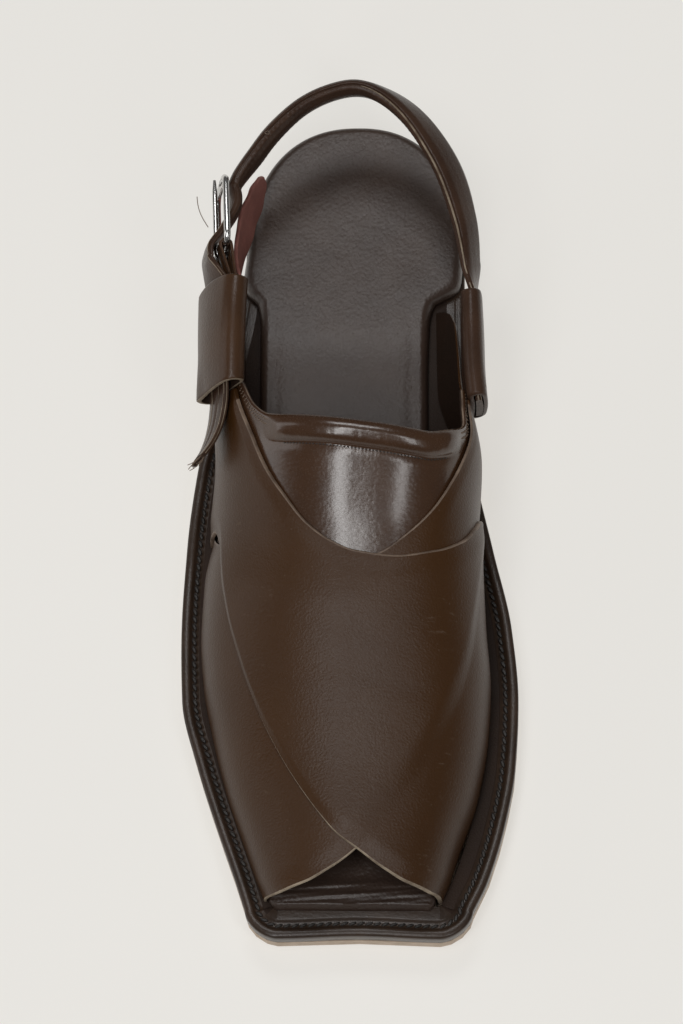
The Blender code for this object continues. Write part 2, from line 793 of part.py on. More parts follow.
def make_loop(name, loop, chape, mat):
    roof = loop_roof(loop, chape)
    hole = densify(round_section(loop.height - 2.0 * LOOP_WALL, roof - loop.inner_wall))
    skin = densify(round_section(loop.height, roof + LOOP_WALL))
    stations = 6
    outer = []
    inner = []
    for k in range(stations + 1):
        share = loop.rear + (loop.front - loop.rear) * k / stations
        outer.append(section_on_last(loop_t(loop, share), share, (roof + LOOP_WALL) / 2.0, skin))
        inner.append(section_on_last(loop_t(loop, share), share, (roof + loop.inner_wall) / 2.0, hole))
    return tube(name, outer, inner, mat)


def strap_section(pad):
    """Section of the heel strap: flat at its ends, swollen in the middle where it is padded."""
    thick = STRAP_END_THICKNESS + (STRAP_PAD - STRAP_END_THICKNESS) * pad
    edge = STRAP_END_THICKNESS + (STRAP_EDGE + 0.0010 - STRAP_END_THICKNESS) * pad
    half = STRAP_WIDTH / 2.0
    upper_side = [(half, 0.0), (half * 0.93, edge * 0.42), (half * 0.55, thick * 0.46),
                  (0.0, thick * 0.50), (-half * 0.55, thick * 0.46), (-half * 0.93, edge * 0.42)]
    return upper_side + [(-up, -out) for up, out in upper_side]


def lean_frame(forward, lean):
    """Directions up and outwards of a strap that runs round the heel from its medial side."""
    outward = forward.cross(Vector((0.0, 0.0, 1.0))).normalized()
    upward = outward.cross(forward).normalized()
    angle = math.radians(lean)
    return (upward * math.cos(angle) - outward * math.sin(angle),
            outward * math.cos(angle) + upward * math.sin(angle))


def spline(points, per_span):
    """Catmull-Rom curve through rows of numbers, with its direction."""
    out = []
    for i in range(len(points) - 1):
        before = points[max(i - 1, 0)]
        start = points[i]
        end = points[i + 1]
        after = points[min(i + 2, len(points) - 1)]
        steps = per_span + (1 if i == len(points) - 2 else 0)
        for k in range(steps):
            u = k / per_span
            out.append(tuple(
                0.5 * (2.0 * b + (c - a) * u + (2.0 * a - 5.0 * b + 4.0 * c - d) * u * u
                       + (3.0 * b - a - 3.0 * c + d) * u ** 3)
                for a, b, c, d in zip(before, start, end, after)))
    return out


def free_rings(rows, section_at, more=()):
    """Sections along a table of strap rows, and on through more places (x, y, z, lean, pad)."""
    places = [(across(row.across), along(row.along), row.height, row.lean, row.pad) for row in rows]
    path = spline(places + list(more), 3)
    rings = []
    for k, station in enumerate(path):
        centre = Vector(station[:3])
        ahead = Vector(path[min(k + 1, len(path) - 1)][:3])
        behind = Vector(path[max(k - 1, 0)][:3])
        up, out = lean_frame(ahead - behind, station[3])
        section = section_at(min(max(station[4], 0.0), 1.0))
        rings.append([centre + up * u + out * v for u, v in section])
    return rings


def buckle_axes():
    turn = math.radians(BUCKLE_TURN)
    forward = Vector((-math.sin(turn), -math.cos(turn), 0.0))
    up, out = lean_frame(forward, BUCKLE_LEAN)
    return Vector((across(BUCKLE_ACROSS), along(BUCKLE_SHARE), BUCKLE_Z)), forward, up, out


def bar_offset():
    """From the middle of the buckle to the middle of its end bars."""
    return (BUCKLE_LENGTH - BUCKLE_WIRE) / 2.0


def hook_radius():
    """Middle of the prong's wire from the middle of the bar that it hangs on."""
    return (BUCKLE_WIRE + PRONG_WIRE) / 2.0 + GAP


def buckle_places():
    """The strap goes in behind the rear bar, through the frame and out over the front bar."""
    centre, forward, up, out = buckle_axes()
    bar = bar_offset()
    under = -(BUCKLE_WIRE + STRAP_END_THICKNESS) / 2.0 - 2.0 * GAP
    over = hook_radius() + (PRONG_WIRE + STRAP_END_THICKNESS) / 2.0 + 2.0 * GAP
    stations = ((-bar, under - 0.0006, 0.25), (-0.4 * bar, under, 0.0), (0.35 * bar, 0.55 * over, 0.0),
                (bar, over, 0.0), (1.45 * bar, over, 0.0))
    places = []
    for ahead, height, pad in stations:
        point = centre + forward * ahead + out * height
        places.append((point.x, point.y, point.z, BUCKLE_LEAN, pad))
    return places


def make_heel_strap(mat, prong_cutter):
    flat = strap_section(0.0)
    medial_mid = (MEDIAL_LOOP.front + MEDIAL_LOOP.rear) / 2.0
    medial = [section_on_last(loop_t(MEDIAL_LOOP, share), share, strap_offset(PANEL_WALL), flat)
              for share in (MEDIAL_LOOP.front + 0.012, MEDIAL_LOOP.front - 0.01,
                            medial_mid, MEDIAL_LOOP.rear + 0.01, MEDIAL_LOOP.rear - 0.003)]
    free = free_rings(STRAP_ROWS, strap_section, buckle_places())
    chape = chape_space()
    length = LATERAL_LOOP.front - LATERAL_LOOP.rear
    lateral = []
    for part in (0.02, 0.2, 0.5, 0.8, 1.0):
        share = LATERAL_LOOP.rear + length * part
        t = loop_t(LATERAL_LOOP, share) + (TAIL_T - LATERAL_LOOP.front_t) * smooth_step(0.1, 1.0, part)
        over = LOOP_WALL + chape + (PANEL_WALL - LOOP_WALL - chape) * smooth_step(0.45, 1.0, part)
        lateral.append(section_on_last(t, share, strap_offset(over), flat))
    tail = []
    for k in range(1, 6):
        u = k / 5.0
        share = LATERAL_LOOP.front + (TAIL_END_SHARE - LATERAL_LOOP.front) * u
        t = beside(TAIL_T, share, -TAIL_END_DROP * u * u)
        tail.append(section_on_last(t, share, strap_offset(PANEL_WALL) + GAP * u + TAIL_END_LIFT * u * u, flat))
    strap = sweep("heel_strap", medial + free + lateral + tail, mat)
    cut(strap, prong_cutter)
    return strap


def cut(target, cutter):
    hole = target.modifiers.new("slot", "BOOLEAN")
    hole.operation = "DIFFERENCE"
    hole.solver = "EXACT"
    hole.object = cutter


def prong_path(hook):
    centre, forward, up, out = buckle_axes()
    bar = bar_offset()
    radius = hook_radius()
    path = [centre - forward * (bar + PRONG_REACH) + out * radius]
    for part in (-0.6, -0.1, 0.4):
        path.append(centre + forward * bar * part + out * radius)
    turns = 7
    for k in range(turns + 1):
        angle = math.radians(hook) * k / turns
        path.append(centre + forward * (bar + radius * math.sin(angle)) + out * radius * math.cos(angle))
    return path, up


def prong_rings(radius, hook):
    path, up = prong_path(hook)
    rings = []
    for k, point in enumerate(path):
        ahead = path[min(k + 1, len(path) - 1)] - path[max(k - 1, 0)]
        side = ahead.cross(up).normalized()
        rings.append(wire_ring(point, radius, side, up))
    return rings


def make_prong(mat):
    return sweep("buckle_prong", prong_rings(PRONG_WIRE / 2.0, PRONG_HOOK), mat)


def make_prong_cutter(mat):
    cutter = sweep("prong_slot", prong_rings(PRONG_WIRE / 2.0 + PRONG_SLOT, 1.2 * PRONG_HOOK), mat)
    cutter.hide_render = True
    cutter.display_type = "WIRE"
    return cutter


def make_chape(mat, prong_cutter):
    """Leather strip folded round the buckle's front bar, its two ends in the loop under the strap."""
    centre, forward, up, out = buckle_axes()
    inner = BUCKLE_WIRE / 2.0 + GAP
    outer = inner + CHAPE_THICKNESS
    low = LOOP_WALL + GAP
    high = low + CHAPE_THICKNESS + GAP
    seat = (LATERAL_LOOP.rear + CHAPE_REACH / SOLE_LENGTH, LATERAL_LOOP.rear + 2.0 * GAP / SOLE_LENGTH)
    turns = 6
    far = []
    near = []
    for column in (-1.0, -0.5, 0.0, 0.5, 1.0):
        rise = column * CHAPE_WIDTH / 2.0
        bar = centre + forward * bar_offset() + up * rise
        far_line = []
        near_line = []
        for share in seat:
            t = beside(loop_t(LATERAL_LOOP, share), share, rise)
            far_line.append(on_last(t, share, low))
            near_line.append(on_last(t, share, low + CHAPE_THICKNESS))
        for k in range(turns + 1):
            angle = math.radians(-95.0 + 190.0 * k / turns)
            ray = -forward * math.cos(angle) + out * math.sin(angle)
            far_line.append(bar + ray * outer)
            near_line.append(bar + ray * inner)
        for share in reversed(seat):
            t = beside(loop_t(LATERAL_LOOP, share), share, rise)
            far_line.append(on_last(t, share, high + CHAPE_THICKNESS))
            near_line.append(on_last(t, share, high))
        far.append(far_line)
        near.append(near_line)
    chape = sheet("buckle_chape", far, near, mat)
    cut(chape, prong_cutter)


def make_guard(mat):
    """Leather flap from under the lateral loop, between the buckle and the foot."""

    def section(part):
        return round_section(GUARD_HEIGHT * max(part, 0.25), GUARD_THICKNESS, 2)

    offset = -GAP - GUARD_THICKNESS / 2.0
    rings = free_rings(GUARD_ROWS, section)
    for share in (LATERAL_LOOP.rear + 0.003, (LATERAL_LOOP.rear + GUARD_SEAT_SHARE) / 2.0, GUARD_SEAT_SHARE):
        rings.append(section_on_last(GUARD_T, share, offset, section(1.0)))
    sweep("buckle_guard", rings, mat)


def wire_ring(centre, radius, side, normal, sides=8):
    return [centre + side * radius * math.cos(2.0 * math.pi * k / sides)
            + normal * radius * math.sin(2.0 * math.pi * k / sides) for k in range(sides)]


def make_buckle_frame(mat):
    centre, forward, up, out = buckle_axes()
    half_length = (BUCKLE_LENGTH - BUCKLE_WIRE) / 2.0
    half_height = (BUCKLE_HEIGHT - BUCKLE_WIRE) / 2.0
    rings = []
    for corner in range(4):
        start = math.pi / 2.0 * corner
        middle_u = math.copysign(half_length - BUCKLE_CORNER, math.cos(start + math.pi / 4.0))
        middle_v = math.copysign(half_height - BUCKLE_CORNER, math.sin(start + math.pi / 4.0))
        for k in range(4):
            angle = start + math.pi / 2.0 * k / 3.0
            radial = forward * math.cos(angle) + up * math.sin(angle)
            point = centre + forward * middle_u + up * middle_v + radial * BUCKLE_CORNER
            rings.append(wire_ring(point, BUCKLE_WIRE / 2.0, radial, out))
    return closed_sweep("buckle_frame", rings, mat)


def build():
    clear_scene()
    tan = material("tan_outsole", (0.55, 0.41, 0.27), 0.6)
    dark = material("welt_dark", (0.05, 0.035, 0.028), 0.35)
    rubber = material("heel_rubber", (0.03, 0.03, 0.03), 0.8)
    stacked = material("heel_stack", (0.07, 0.045, 0.03), 0.45)
    bed = material("footbed_leather", (0.062, 0.048, 0.043), 0.5)
    brown = material("upper_leather", (0.055, 0.027, 0.014), 0.35)
    flesh = material("guard_flesh_side", (0.19, 0.08, 0.06), 0.8)
    steel = material("buckle_steel", (0.62, 0.61, 0.60), 0.2, 1.0)
    make_heel_lift(rubber)
    make_heel_block(stacked)
    make_outsole(tan)
    make_welt(dark)
    make_footbed(bed)
    make_upper(brown)
    make_throat_panel(brown)
    make_loop("lateral_loop", LATERAL_LOOP, chape_space(), brown)
    make_loop("medial_loop", MEDIAL_LOOP, 0.0, brown)
    slot = make_prong_cutter(steel)
    make_heel_strap(brown, slot)
    make_chape(brown, slot)
    make_buckle_frame(steel)
    make_prong(steel)
    make_guard(flesh)


build()
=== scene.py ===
import math

import bpy
import numpy as np
from mathutils import Euler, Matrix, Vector


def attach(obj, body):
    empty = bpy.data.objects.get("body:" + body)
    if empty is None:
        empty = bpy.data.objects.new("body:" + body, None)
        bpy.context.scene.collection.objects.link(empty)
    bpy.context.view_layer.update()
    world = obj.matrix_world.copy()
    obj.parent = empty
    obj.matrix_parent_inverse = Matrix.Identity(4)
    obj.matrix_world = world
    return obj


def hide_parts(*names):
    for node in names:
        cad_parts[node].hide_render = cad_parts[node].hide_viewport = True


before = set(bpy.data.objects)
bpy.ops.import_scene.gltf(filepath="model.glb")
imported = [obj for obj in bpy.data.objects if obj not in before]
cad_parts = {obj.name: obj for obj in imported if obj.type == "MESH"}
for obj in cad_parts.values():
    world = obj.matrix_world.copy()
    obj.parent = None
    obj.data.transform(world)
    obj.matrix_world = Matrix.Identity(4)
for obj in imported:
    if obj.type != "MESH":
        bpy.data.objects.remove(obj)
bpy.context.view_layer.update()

chance = np.random.default_rng(17)

# The shoe in metres: toe to -Y, medial side +X. A share along runs 0 heel to 1 toe,
# a share across is of the ball's breadth, and t goes round the girth from the medial foot to the lateral
shoe = {
    "length": 0.277, "breadth": 0.110, "gap": 0.0003,
    "heelHeight": 0.0146, "toeSpring": 0.005, "outsole": 0.0055, "welt": 0.0055,
    "instep": 0.062, "lateralPower": 2.25, "tuckPower": 5.0, "heelRound": 0.170,
}


def table(*rows):
    columns = rows[0].split()
    data = np.array(rows[1:], float)
    made = {name: data[:, k] for k, name in enumerate(columns)}
    made["key"] = data[:, 0]
    return made


soleTab = table(
    "along lateral medial",
    (0.170, -0.325, 0.336), (0.255, -0.350, 0.338), (0.340, -0.400, 0.345), (0.430, -0.461, 0.371),
    (0.520, -0.490, 0.423), (0.620, -0.500, 0.480), (0.710, -0.492, 0.500), (0.790, -0.441, 0.491),
    (0.860, -0.383, 0.461), (0.930, -0.320, 0.411), (0.966, -0.290, 0.370))

bedTab = table(
    "along lateral medial",
    (0.170, -0.321, 0.332), (0.200, -0.327, 0.328), (0.216, -0.322, 0.318), (0.222, -0.312, 0.300),
    (0.227, -0.292, 0.262), (0.237, -0.281, 0.242), (0.256, -0.276, 0.233), (0.320, -0.274, 0.229),
    (0.400, -0.274, 0.231), (0.500, -0.320, 0.290), (0.580, -0.430, 0.400), (0.660, -0.500, 0.500))

lastTab = table(
    "along lateral medial rise shift power tuck",
    (0.160, -0.430, 0.340, 0.900, 0.020, 3.3, 0.100), (0.250, -0.424, 0.346, 0.935, 0.025, 3.3, 0.100),
    (0.340, -0.414, 0.350, 0.980, 0.030, 3.3, 0.098), (0.400, -0.406, 0.364, 1.000, 0.035, 3.3, 0.060),
    (0.450, -0.395, 0.384, 0.975, 0.040, 3.2, 0.020), (0.510, -0.402, 0.374, 0.915, 0.040, 3.1, 0.000),
    (0.570, -0.420, 0.379, 0.835, 0.040, 3.0, 0.000), (0.640, -0.427, 0.389, 0.745, 0.035, 2.8, 0.000),
    (0.700, -0.415, 0.401, 0.665, 0.030, 2.7, 0.000), (0.760, -0.384, 0.394, 0.590, 0.025, 2.6, 0.000),
    (0.830, -0.337, 0.365, 0.500, 0.020, 2.5, 0.000), (0.900, -0.275, 0.309, 0.430, 0.015, 2.5, 0.000),
    (0.960, -0.223, 0.267, 0.370, 0.010, 2.5, 0.000), (1.000, -0.198, 0.245, 0.340, 0.010, 2.5, 0.000))

topTab = table(
    "t front rear",
    (0.000, 0.957, 0.500), (0.128, 0.958, 0.518), (0.180, 0.959, 0.538), (0.242, 0.957, 0.565),
    (0.309, 0.953, 0.583), (0.400, 0.939, 0.593), (0.490, 0.918, 0.588), (0.547, 0.903, 0.576),
    (0.596, 0.879, 0.557), (0.650, 0.839, 0.525), (0.708, 0.773, 0.484), (0.750, 0.694, 0.442),
    (0.776, 0.643, 0.404), (0.790, 0.618, 0.375), (0.834, 0.553, 0.375), (0.880, 0.530, 0.340),
    (0.905, 0.526, 0.272), (0.945, 0.523, 0.250), (1.000, 0.521, 0.240))

underTab = table(
    "t front rear",
    (0.000, 0.530, 0.240), (0.025, 0.535, 0.246), (0.050, 0.541, 0.264), (0.075, 0.547, 0.345),
    (0.120, 0.570, 0.388), (0.160, 0.605, 0.388), (0.190, 0.645, 0.428), (0.216, 0.685, 0.457),
    (0.258, 0.745, 0.499), (0.320, 0.810, 0.543), (0.383, 0.860, 0.573), (0.437, 0.893, 0.591),
    (0.491, 0.918, 0.597), (0.576, 0.939, 0.594), (0.681, 0.954, 0.580), (0.821, 0.960, 0.556),
    (0.953, 0.957, 0.520), (1.000, 0.956, 0.507))

throatTab = table(
    "t front rear",
    (0.090, 0.570, 0.412), (0.105, 0.578, 0.380), (0.150, 0.590, 0.376), (0.180, 0.600, 0.402),
    (0.209, 0.610, 0.432), (0.254, 0.625, 0.446), (0.330, 0.645, 0.458), (0.441, 0.650, 0.453),
    (0.608, 0.645, 0.442), (0.709, 0.625, 0.430), (0.745, 0.612, 0.414), (0.776, 0.602, 0.383),
    (0.800, 0.595, 0.362), (0.850, 0.585, 0.362), (0.880, 0.575, 0.400), (0.915, 0.565, 0.415))

lateralLoop = {"rearT": 0.786, "frontT": 0.808, "rear": 0.270, "front": 0.386,
               "height": 0.0250, "wall": 0.0013, "innerWall": 0.0013, "arch": 0.0016, "curl": 0.0012}
medialLoop = {"rearT": 0.132, "frontT": 0.130, "rear": 0.265, "front": 0.392,
              "height": 0.0220, "wall": 0.0013, "innerWall": 0.0020, "arch": 0.0010, "curl": 0.0}

# Middle of the heel strap: along, across, height, lean of its top edge to the foot, padding
strapRows = [
    (0.225, 0.360, 0.0514, 20.0, 0.4), (0.175, 0.342, 0.0562, 32.0, 1.0), (0.125, 0.304, 0.0616, 42.0, 1.0),
    (0.088, 0.252, 0.0660, 44.0, 1.0), (0.055, 0.184, 0.0692, 38.0, 1.0), (0.032, 0.104, 0.0710, 28.0, 1.0),
    (0.022, 0.022, 0.0716, 20.0, 1.0), (0.028, -0.064, 0.0711, 18.0, 1.0), (0.045, -0.147, 0.0701, 14.0, 1.0),
    (0.074, -0.224, 0.0688, 9.0, 1.0), (0.102, -0.278, 0.0672, 6.0, 0.9)]
strap = {"width": 0.0135, "pad": 0.0054, "flat": 0.0024, "edge": 0.0030,
         "tailT": 0.820, "tailEnd": 0.452, "tailDrop": 0.0075, "tailLift": 0.0055, "tailRings": 5}

guardRows = [
    (0.098, -0.266, 0.0466, -9.0, 0.30), (0.108, -0.274, 0.0467, -9.0, 0.66),
    (0.128, -0.290, 0.0470, -9.0, 0.90), (0.155, -0.310, 0.0480, -9.0, 1.0),
    (0.195, -0.330, 0.0500, -5.0, 1.0), (0.240, -0.340, 0.0530, 8.0, 1.0)]
guard = {"thickness": 0.0014, "height": 0.0170, "wave": 0.00025, "t": 0.800, "seat": 0.300}

buckle = {"share": 0.178, "across": -0.374, "z": 0.0640, "lean": 12.0, "turn": -3.0,
          "length": 0.0255, "height": 0.0215, "wire": 0.0022, "corner": 0.0035,
          "prong": 0.0017, "reach": 0.0020, "hook": 200.0, "chape": 0.0009}


def smoothStep(low, high, value):
    u = np.clip((np.asarray(value, float) - low) / (high - low), 0.0, 1.0)
    return u * u * (3.0 - 2.0 * u)


def curveAt(tab, column, at):
    keys = tab["key"]
    values = tab[column]
    steps = np.diff(keys)
    rates = np.diff(values) / steps
    before, after = rates[:-1], rates[1:]
    total = np.where(before + after == 0.0, 1.0, before + after)
    inner = np.where(before * after > 0.0, 2.0 * before * after / total, 0.0)
    slopes = np.concatenate([rates[:1], inner, rates[-1:]])
    at = np.clip(np.asarray(at, float), keys[0], keys[-1])
    i = np.clip(np.searchsorted(keys, at) - 1, 0, len(steps) - 1)
    u = (at - keys[i]) / steps[i]
    start = values[i] * (1.0 + 2.0 * u) * (1.0 - u) ** 2 + slopes[i] * steps[i] * u * (1.0 - u) ** 2
    end = values[i + 1] * u * u * (3.0 - 2.0 * u) - slopes[i + 1] * steps[i] * u * u * (1.0 - u)
    return start + end


def alongY(share):
    return shoe["length"] * (0.5 - np.asarray(share, float))


def shareOf(y):
    return 0.5 - np.asarray(y, float) / shoe["length"]


def acrossX(share):
    return shoe["breadth"] * np.asarray(share, float)


def outsoleBottom(share):
    share = np.asarray(share, float)
    arch = 1.0 - smoothStep(0.265, 0.560, share)
    toe = np.maximum(share - 0.740, 0.0) / 0.260
    return shoe["heelHeight"] * arch + shoe["toeSpring"] * toe * toe


def weltBottom(share):
    return outsoleBottom(share) + shoe["outsole"] + shoe["gap"]


def weltTop(share):
    return weltBottom(share) + shoe["welt"]


def unit(vectors):
    return vectors / np.maximum(np.linalg.norm(vectors, axis=-1, keepdims=True), 1e-12)


def lastPoint(t, share):
    t, share = np.broadcast_arrays(np.asarray(t, float), np.asarray(share, float))
    lateral = acrossX(curveAt(lastTab, "lateral", share))
    medial = acrossX(curveAt(lastTab, "medial", share))
    rise = shoe["instep"] * curveAt(lastTab, "rise", share)
    shift = acrossX(curveAt(lastTab, "shift", share))
    angle = math.pi * np.clip(t, 0.0, 1.0)
    side = np.cos(angle)
    lift = np.sin(angle)
    power = np.where(side > 0.0, curveAt(lastTab, "power", share), shoe["lateralPower"])
    reach = (np.abs(side) ** power + np.abs(lift) ** power) ** (-1.0 / power)
    x = (medial + lateral) / 2.0 + (medial - lateral) / 2.0 * side * reach + shift * lift * lift
    tuck = acrossX(curveAt(lastTab, "tuck", share)) * (1.0 - lift) ** shoe["tuckPower"]
    x = x - np.copysign(tuck, side)
    return np.stack([x, alongY(share), weltTop(share) + shoe["gap"] + rise * lift * reach], -1)


def lastNormal(t, share):
    step = 0.004
    t = np.clip(t, 2.0 * step, 1.0 - 2.0 * step)
    girth = lastPoint(t + step, share) - lastPoint(t - step, share)
    forward = lastPoint(t, share + step) - lastPoint(t, share - step)
    return unit(np.cross(girth, forward))


def onLast(t, share, offset):
    t, share, offset = np.broadcast_arrays(np.asarray(t, float), np.asarray(share, float),
                                           np.asarray(offset, float))
    point = lastPoint(t, share) + lastNormal(t, share) * offset[..., None]
    point[..., 2] = np.maximum(point[..., 2], weltTop(shareOf(point[..., 1])) + shoe["gap"])
    return point


def beside(t, share, distance):
    step = 0.01
    speed = np.linalg.norm(lastPoint(t + step, share) - lastPoint(t - step, share), axis=-1) / (2.0 * step)
    return t + np.where(np.asarray(t) < 0.5, 1.0, -1.0) * distance / speed


def sectionOnLast(t, share, offset, section):
    return onLast(beside(t, share, section[:, 0]), share, offset + section[:, 1])


# Meshes from arrays
def runOf(points):
    return np.concatenate([[0.0], np.cumsum(np.linalg.norm(np.diff(points, axis=0), axis=1))])


def gridFaces(rows, columns, start=0, closed=False):
    i, j = np.meshgrid(np.arange(rows - 1), np.arange(columns if closed else columns - 1), indexing="ij")
    after = (j + 1) % columns
    near = i * columns + start
    far = near + columns
    return np.stack([near + j, near + after, far + after, far + j], -1).reshape(-1, 4)


def endFaces(rows, columns, start=0):
    last = start + (rows - 1) * columns
    return [list(range(start + columns - 1, start - 1, -1)), list(range(last, last + columns))]


def closingFaces(rows, columns):
    near = np.arange(columns)
    after = (near + 1) % columns
    far = (rows - 1) * columns
    return np.stack([far + near, far + after, after, near], -1).tolist()


def linked(name, data):
    made = bpy.data.objects.new(name, data)
    bpy.context.scene.collection.objects.link(made)
    return made


def makePiece(name, points, faces, mats, slots=None, sharp=48.0, flip=False):
    mesh = bpy.data.meshes.new(name)
    faces = [tuple(reversed(face)) if flip else tuple(face) for face in faces]
    mesh.from_pydata(np.asarray(points, float).reshape(-1, 3).tolist(), [], faces)
    for mat in mats:
        mesh.materials.append(mat)
    if slots is not None:
        mesh.polygons.foreach_set("material_index", np.asarray(slots, np.int32))
    mesh.update()
    mesh.shade_smooth()
    mesh.set_sharp_from_angle(angle=math.radians(sharp))
    piece = linked(name, mesh)
    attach(piece, "root")
    return piece


# Two skins and their rims: slot 0 is the outside, 1 the first rim, farRim the last, 2 the inside and side rims
def shellPiece(name, outer, inner, mats, rimRows=0, closed=False, flip=False, sharp=48.0, farRim=1):
    rows, columns = outer.shape[:2]
    count = rows * columns
    top = gridFaces(rows, columns, 0, closed)
    row = top[:, 0] // columns
    slots = np.where(row < rimRows, 1, np.where(row >= rows - 1 - rimRows, farRim, 0))
    under = gridFaces(rows, columns, count, closed)[:, ::-1]
    ends = np.arange(columns if closed else columns - 1)
    after = (ends + 1) % columns
    last = (rows - 1) * columns
    rims = [(after, ends), (last + ends, last + after)]
    if not closed:
        side = np.arange(rows - 1) * columns
        rims += [(side, side + columns), (side + 2 * columns - 1, side + columns - 1)]
    rim = np.concatenate([np.stack([a, b, count + b, count + a], -1) for a, b in rims])
    rimSlots = np.ones(len(rim), int)
    rimSlots[len(ends):2 * len(ends)] = farRim
    rimSlots[2 * len(ends):] = 2
    slots = np.concatenate([slots, np.full(len(under), 2), rimSlots])
    points = np.concatenate([outer.reshape(-1, 3), inner.reshape(-1, 3)])
    return makePiece(name, points, np.concatenate([top, under, rim]).tolist(), mats, slots, sharp, flip)


def barPiece(name, rings, mats, slots=None, loop=False, flip=False, sharp=48.0):
    rings = np.asarray(rings, float)
    rows, columns = rings.shape[:2]
    faces = gridFaces(rows, columns, 0, True)
    slots = np.zeros(len(faces), int) if slots is None else np.asarray(slots)
    ends = closingFaces(rows, columns) if loop else endFaces(rows, columns)
    slots = np.concatenate([slots, np.zeros(len(ends), int)])
    return makePiece(name, rings, faces.tolist() + ends, mats, slots, sharp, flip)


def tubeRings(path, radius, sides=10, up=(0.0, 0.0, 1.0)):
    path = np.asarray(path, float)
    radius = np.broadcast_to(np.asarray(radius, float), len(path))
    ahead = unit(np.gradient(path, axis=0))
    side = unit(np.cross(ahead, np.asarray(up, float)))
    lift = np.cross(side, ahead)
    angle = 2.0 * math.pi * np.arange(sides) / sides
    return (path[:, None] + side[:, None] * (radius[:, None] * np.cos(angle))[..., None]
            + lift[:, None] * (radius[:, None] * np.sin(angle))[..., None])


def tubesPiece(name, paths, radius, mats, sides=6):
    points = []
    faces = []
    for path in paths:
        rings = tubeRings(path, radius, sides)
        base = sum(len(p) for p in points)
        faces += gridFaces(len(rings), sides, base, True).tolist() + endFaces(len(rings), sides, base)
        points.append(rings.reshape(-1, 3))
    return makePiece(name, np.concatenate(points), faces, mats)


# Small lozenge of thread at each place: along is its direction, normal points off the leather
def stitchesPiece(name, places, alongs, normals, size, mats):
    length, width, height = size
    around = 6
    stations = np.array([-1.0, -0.8, -0.4, 0.0, 0.4, 0.8, 1.0])
    swell = np.sqrt(np.maximum(1.0 - stations ** 2, 0.02))
    angle = 2.0 * math.pi * np.arange(around) / around
    alongs = unit(np.asarray(alongs, float))
    side = unit(np.cross(np.asarray(normals, float), alongs))
    lift = np.cross(alongs, side)
    points = []
    faces = []
    for k, place in enumerate(np.asarray(places, float)):
        ring = (place + alongs[k] * (stations * length / 2.0)[:, None, None]
                + side[k] * (swell[:, None] * np.cos(angle) * width / 2.0)[..., None]
                + lift[k] * (swell[:, None] * np.sin(angle) * height / 2.0)[..., None])
        base = k * len(stations) * around
        faces += gridFaces(len(stations), around, base, True).tolist() + endFaces(len(stations), around, base)
        points.append(ring.reshape(-1, 3))
    return makePiece(name, np.concatenate(points), faces, mats)


# Materials: shared effects as node groups, each built once
def addNode(tree, kind, **settings):
    node = tree.nodes.new("ShaderNode" + kind)
    for name, value in settings.items():
        setattr(node, name, value)
    return node


def plug(socket, value):
    if isinstance(value, bpy.types.NodeSocket):
        socket.id_data.links.new(value, socket)
    else:
        socket.default_value = value


def setInputs(node, **values):
    for name, value in values.items():
        plug(node.inputs[name.replace("_", " ")], value)
    return node


def newGroup(name, inputs, outputs):
    tree = bpy.data.node_groups.new(name, "ShaderNodeTree")
    for label, kind, value in inputs:
        socket = tree.interface.new_socket(name=label, in_out="INPUT", socket_type="NodeSocket" + kind)
        socket.default_value = value
    for label, kind in outputs:
        tree.interface.new_socket(name=label, in_out="OUTPUT", socket_type="NodeSocket" + kind)
    return tree, tree.nodes.new("NodeGroupInput").outputs, tree.nodes.new("NodeGroupOutput")


def mathNode(tree, operation, first, second, clamp=False):
    node = addNode(tree, "Math", operation=operation, use_clamp=clamp)
    plug(node.inputs[0], first)
    plug(node.inputs[1], second)
    return node.outputs[0]


def mixColours(tree, mask, first, second):
    node = addNode(tree, "Mix", data_type="RGBA")
    for place, value in ((0, mask), (6, first), (7, second)):
        plug(node.inputs[place], value)
    return node.outputs[2]


def spread(tree, value, low, high, start=0.0, end=1.0):
    node = addNode(tree, "MapRange")
    return setInputs(node, Value=value, From_Min=low, From_Max=high, To_Min=start, To_Max=end).outputs["Result"]


def makeGrainGroup():
    tree, given, result = newGroup(
        "hideGrain",
        [("Scale", "Float", 1400.0), ("Wave", "Float", 0.4)], [("Height", "Float"), ("Tone", "Float")])
    place = addNode(tree, "TexCoord").outputs["Object"]
    cells = setInputs(addNode(tree, "TexVoronoi", feature="SMOOTH_F1"), Vector=place, Scale=given["Scale"])
    fine = setInputs(addNode(tree, "TexNoise"), Vector=place, Detail=3.0, Roughness=0.6,
                     Scale=mathNode(tree, "MULTIPLY", given["Scale"], 1.9)).outputs["Fac"]
    broad = setInputs(addNode(tree, "TexNoise"), Vector=place, Detail=2.0, Roughness=0.5,
                      Scale=mathNode(tree, "MULTIPLY", given["Scale"], 0.16)).outputs["Fac"]
    pores = mathNode(tree, "MULTIPLY", cells.outputs["Distance"], 0.6)
    waves = mathNode(tree, "MULTIPLY", broad, given["Wave"])
    mixed = mathNode(tree, "ADD", mathNode(tree, "MULTIPLY", fine, 0.35), waves)
    setInputs(result, Height=mathNode(tree, "ADD", pores, mixed), Tone=fine)
    return tree


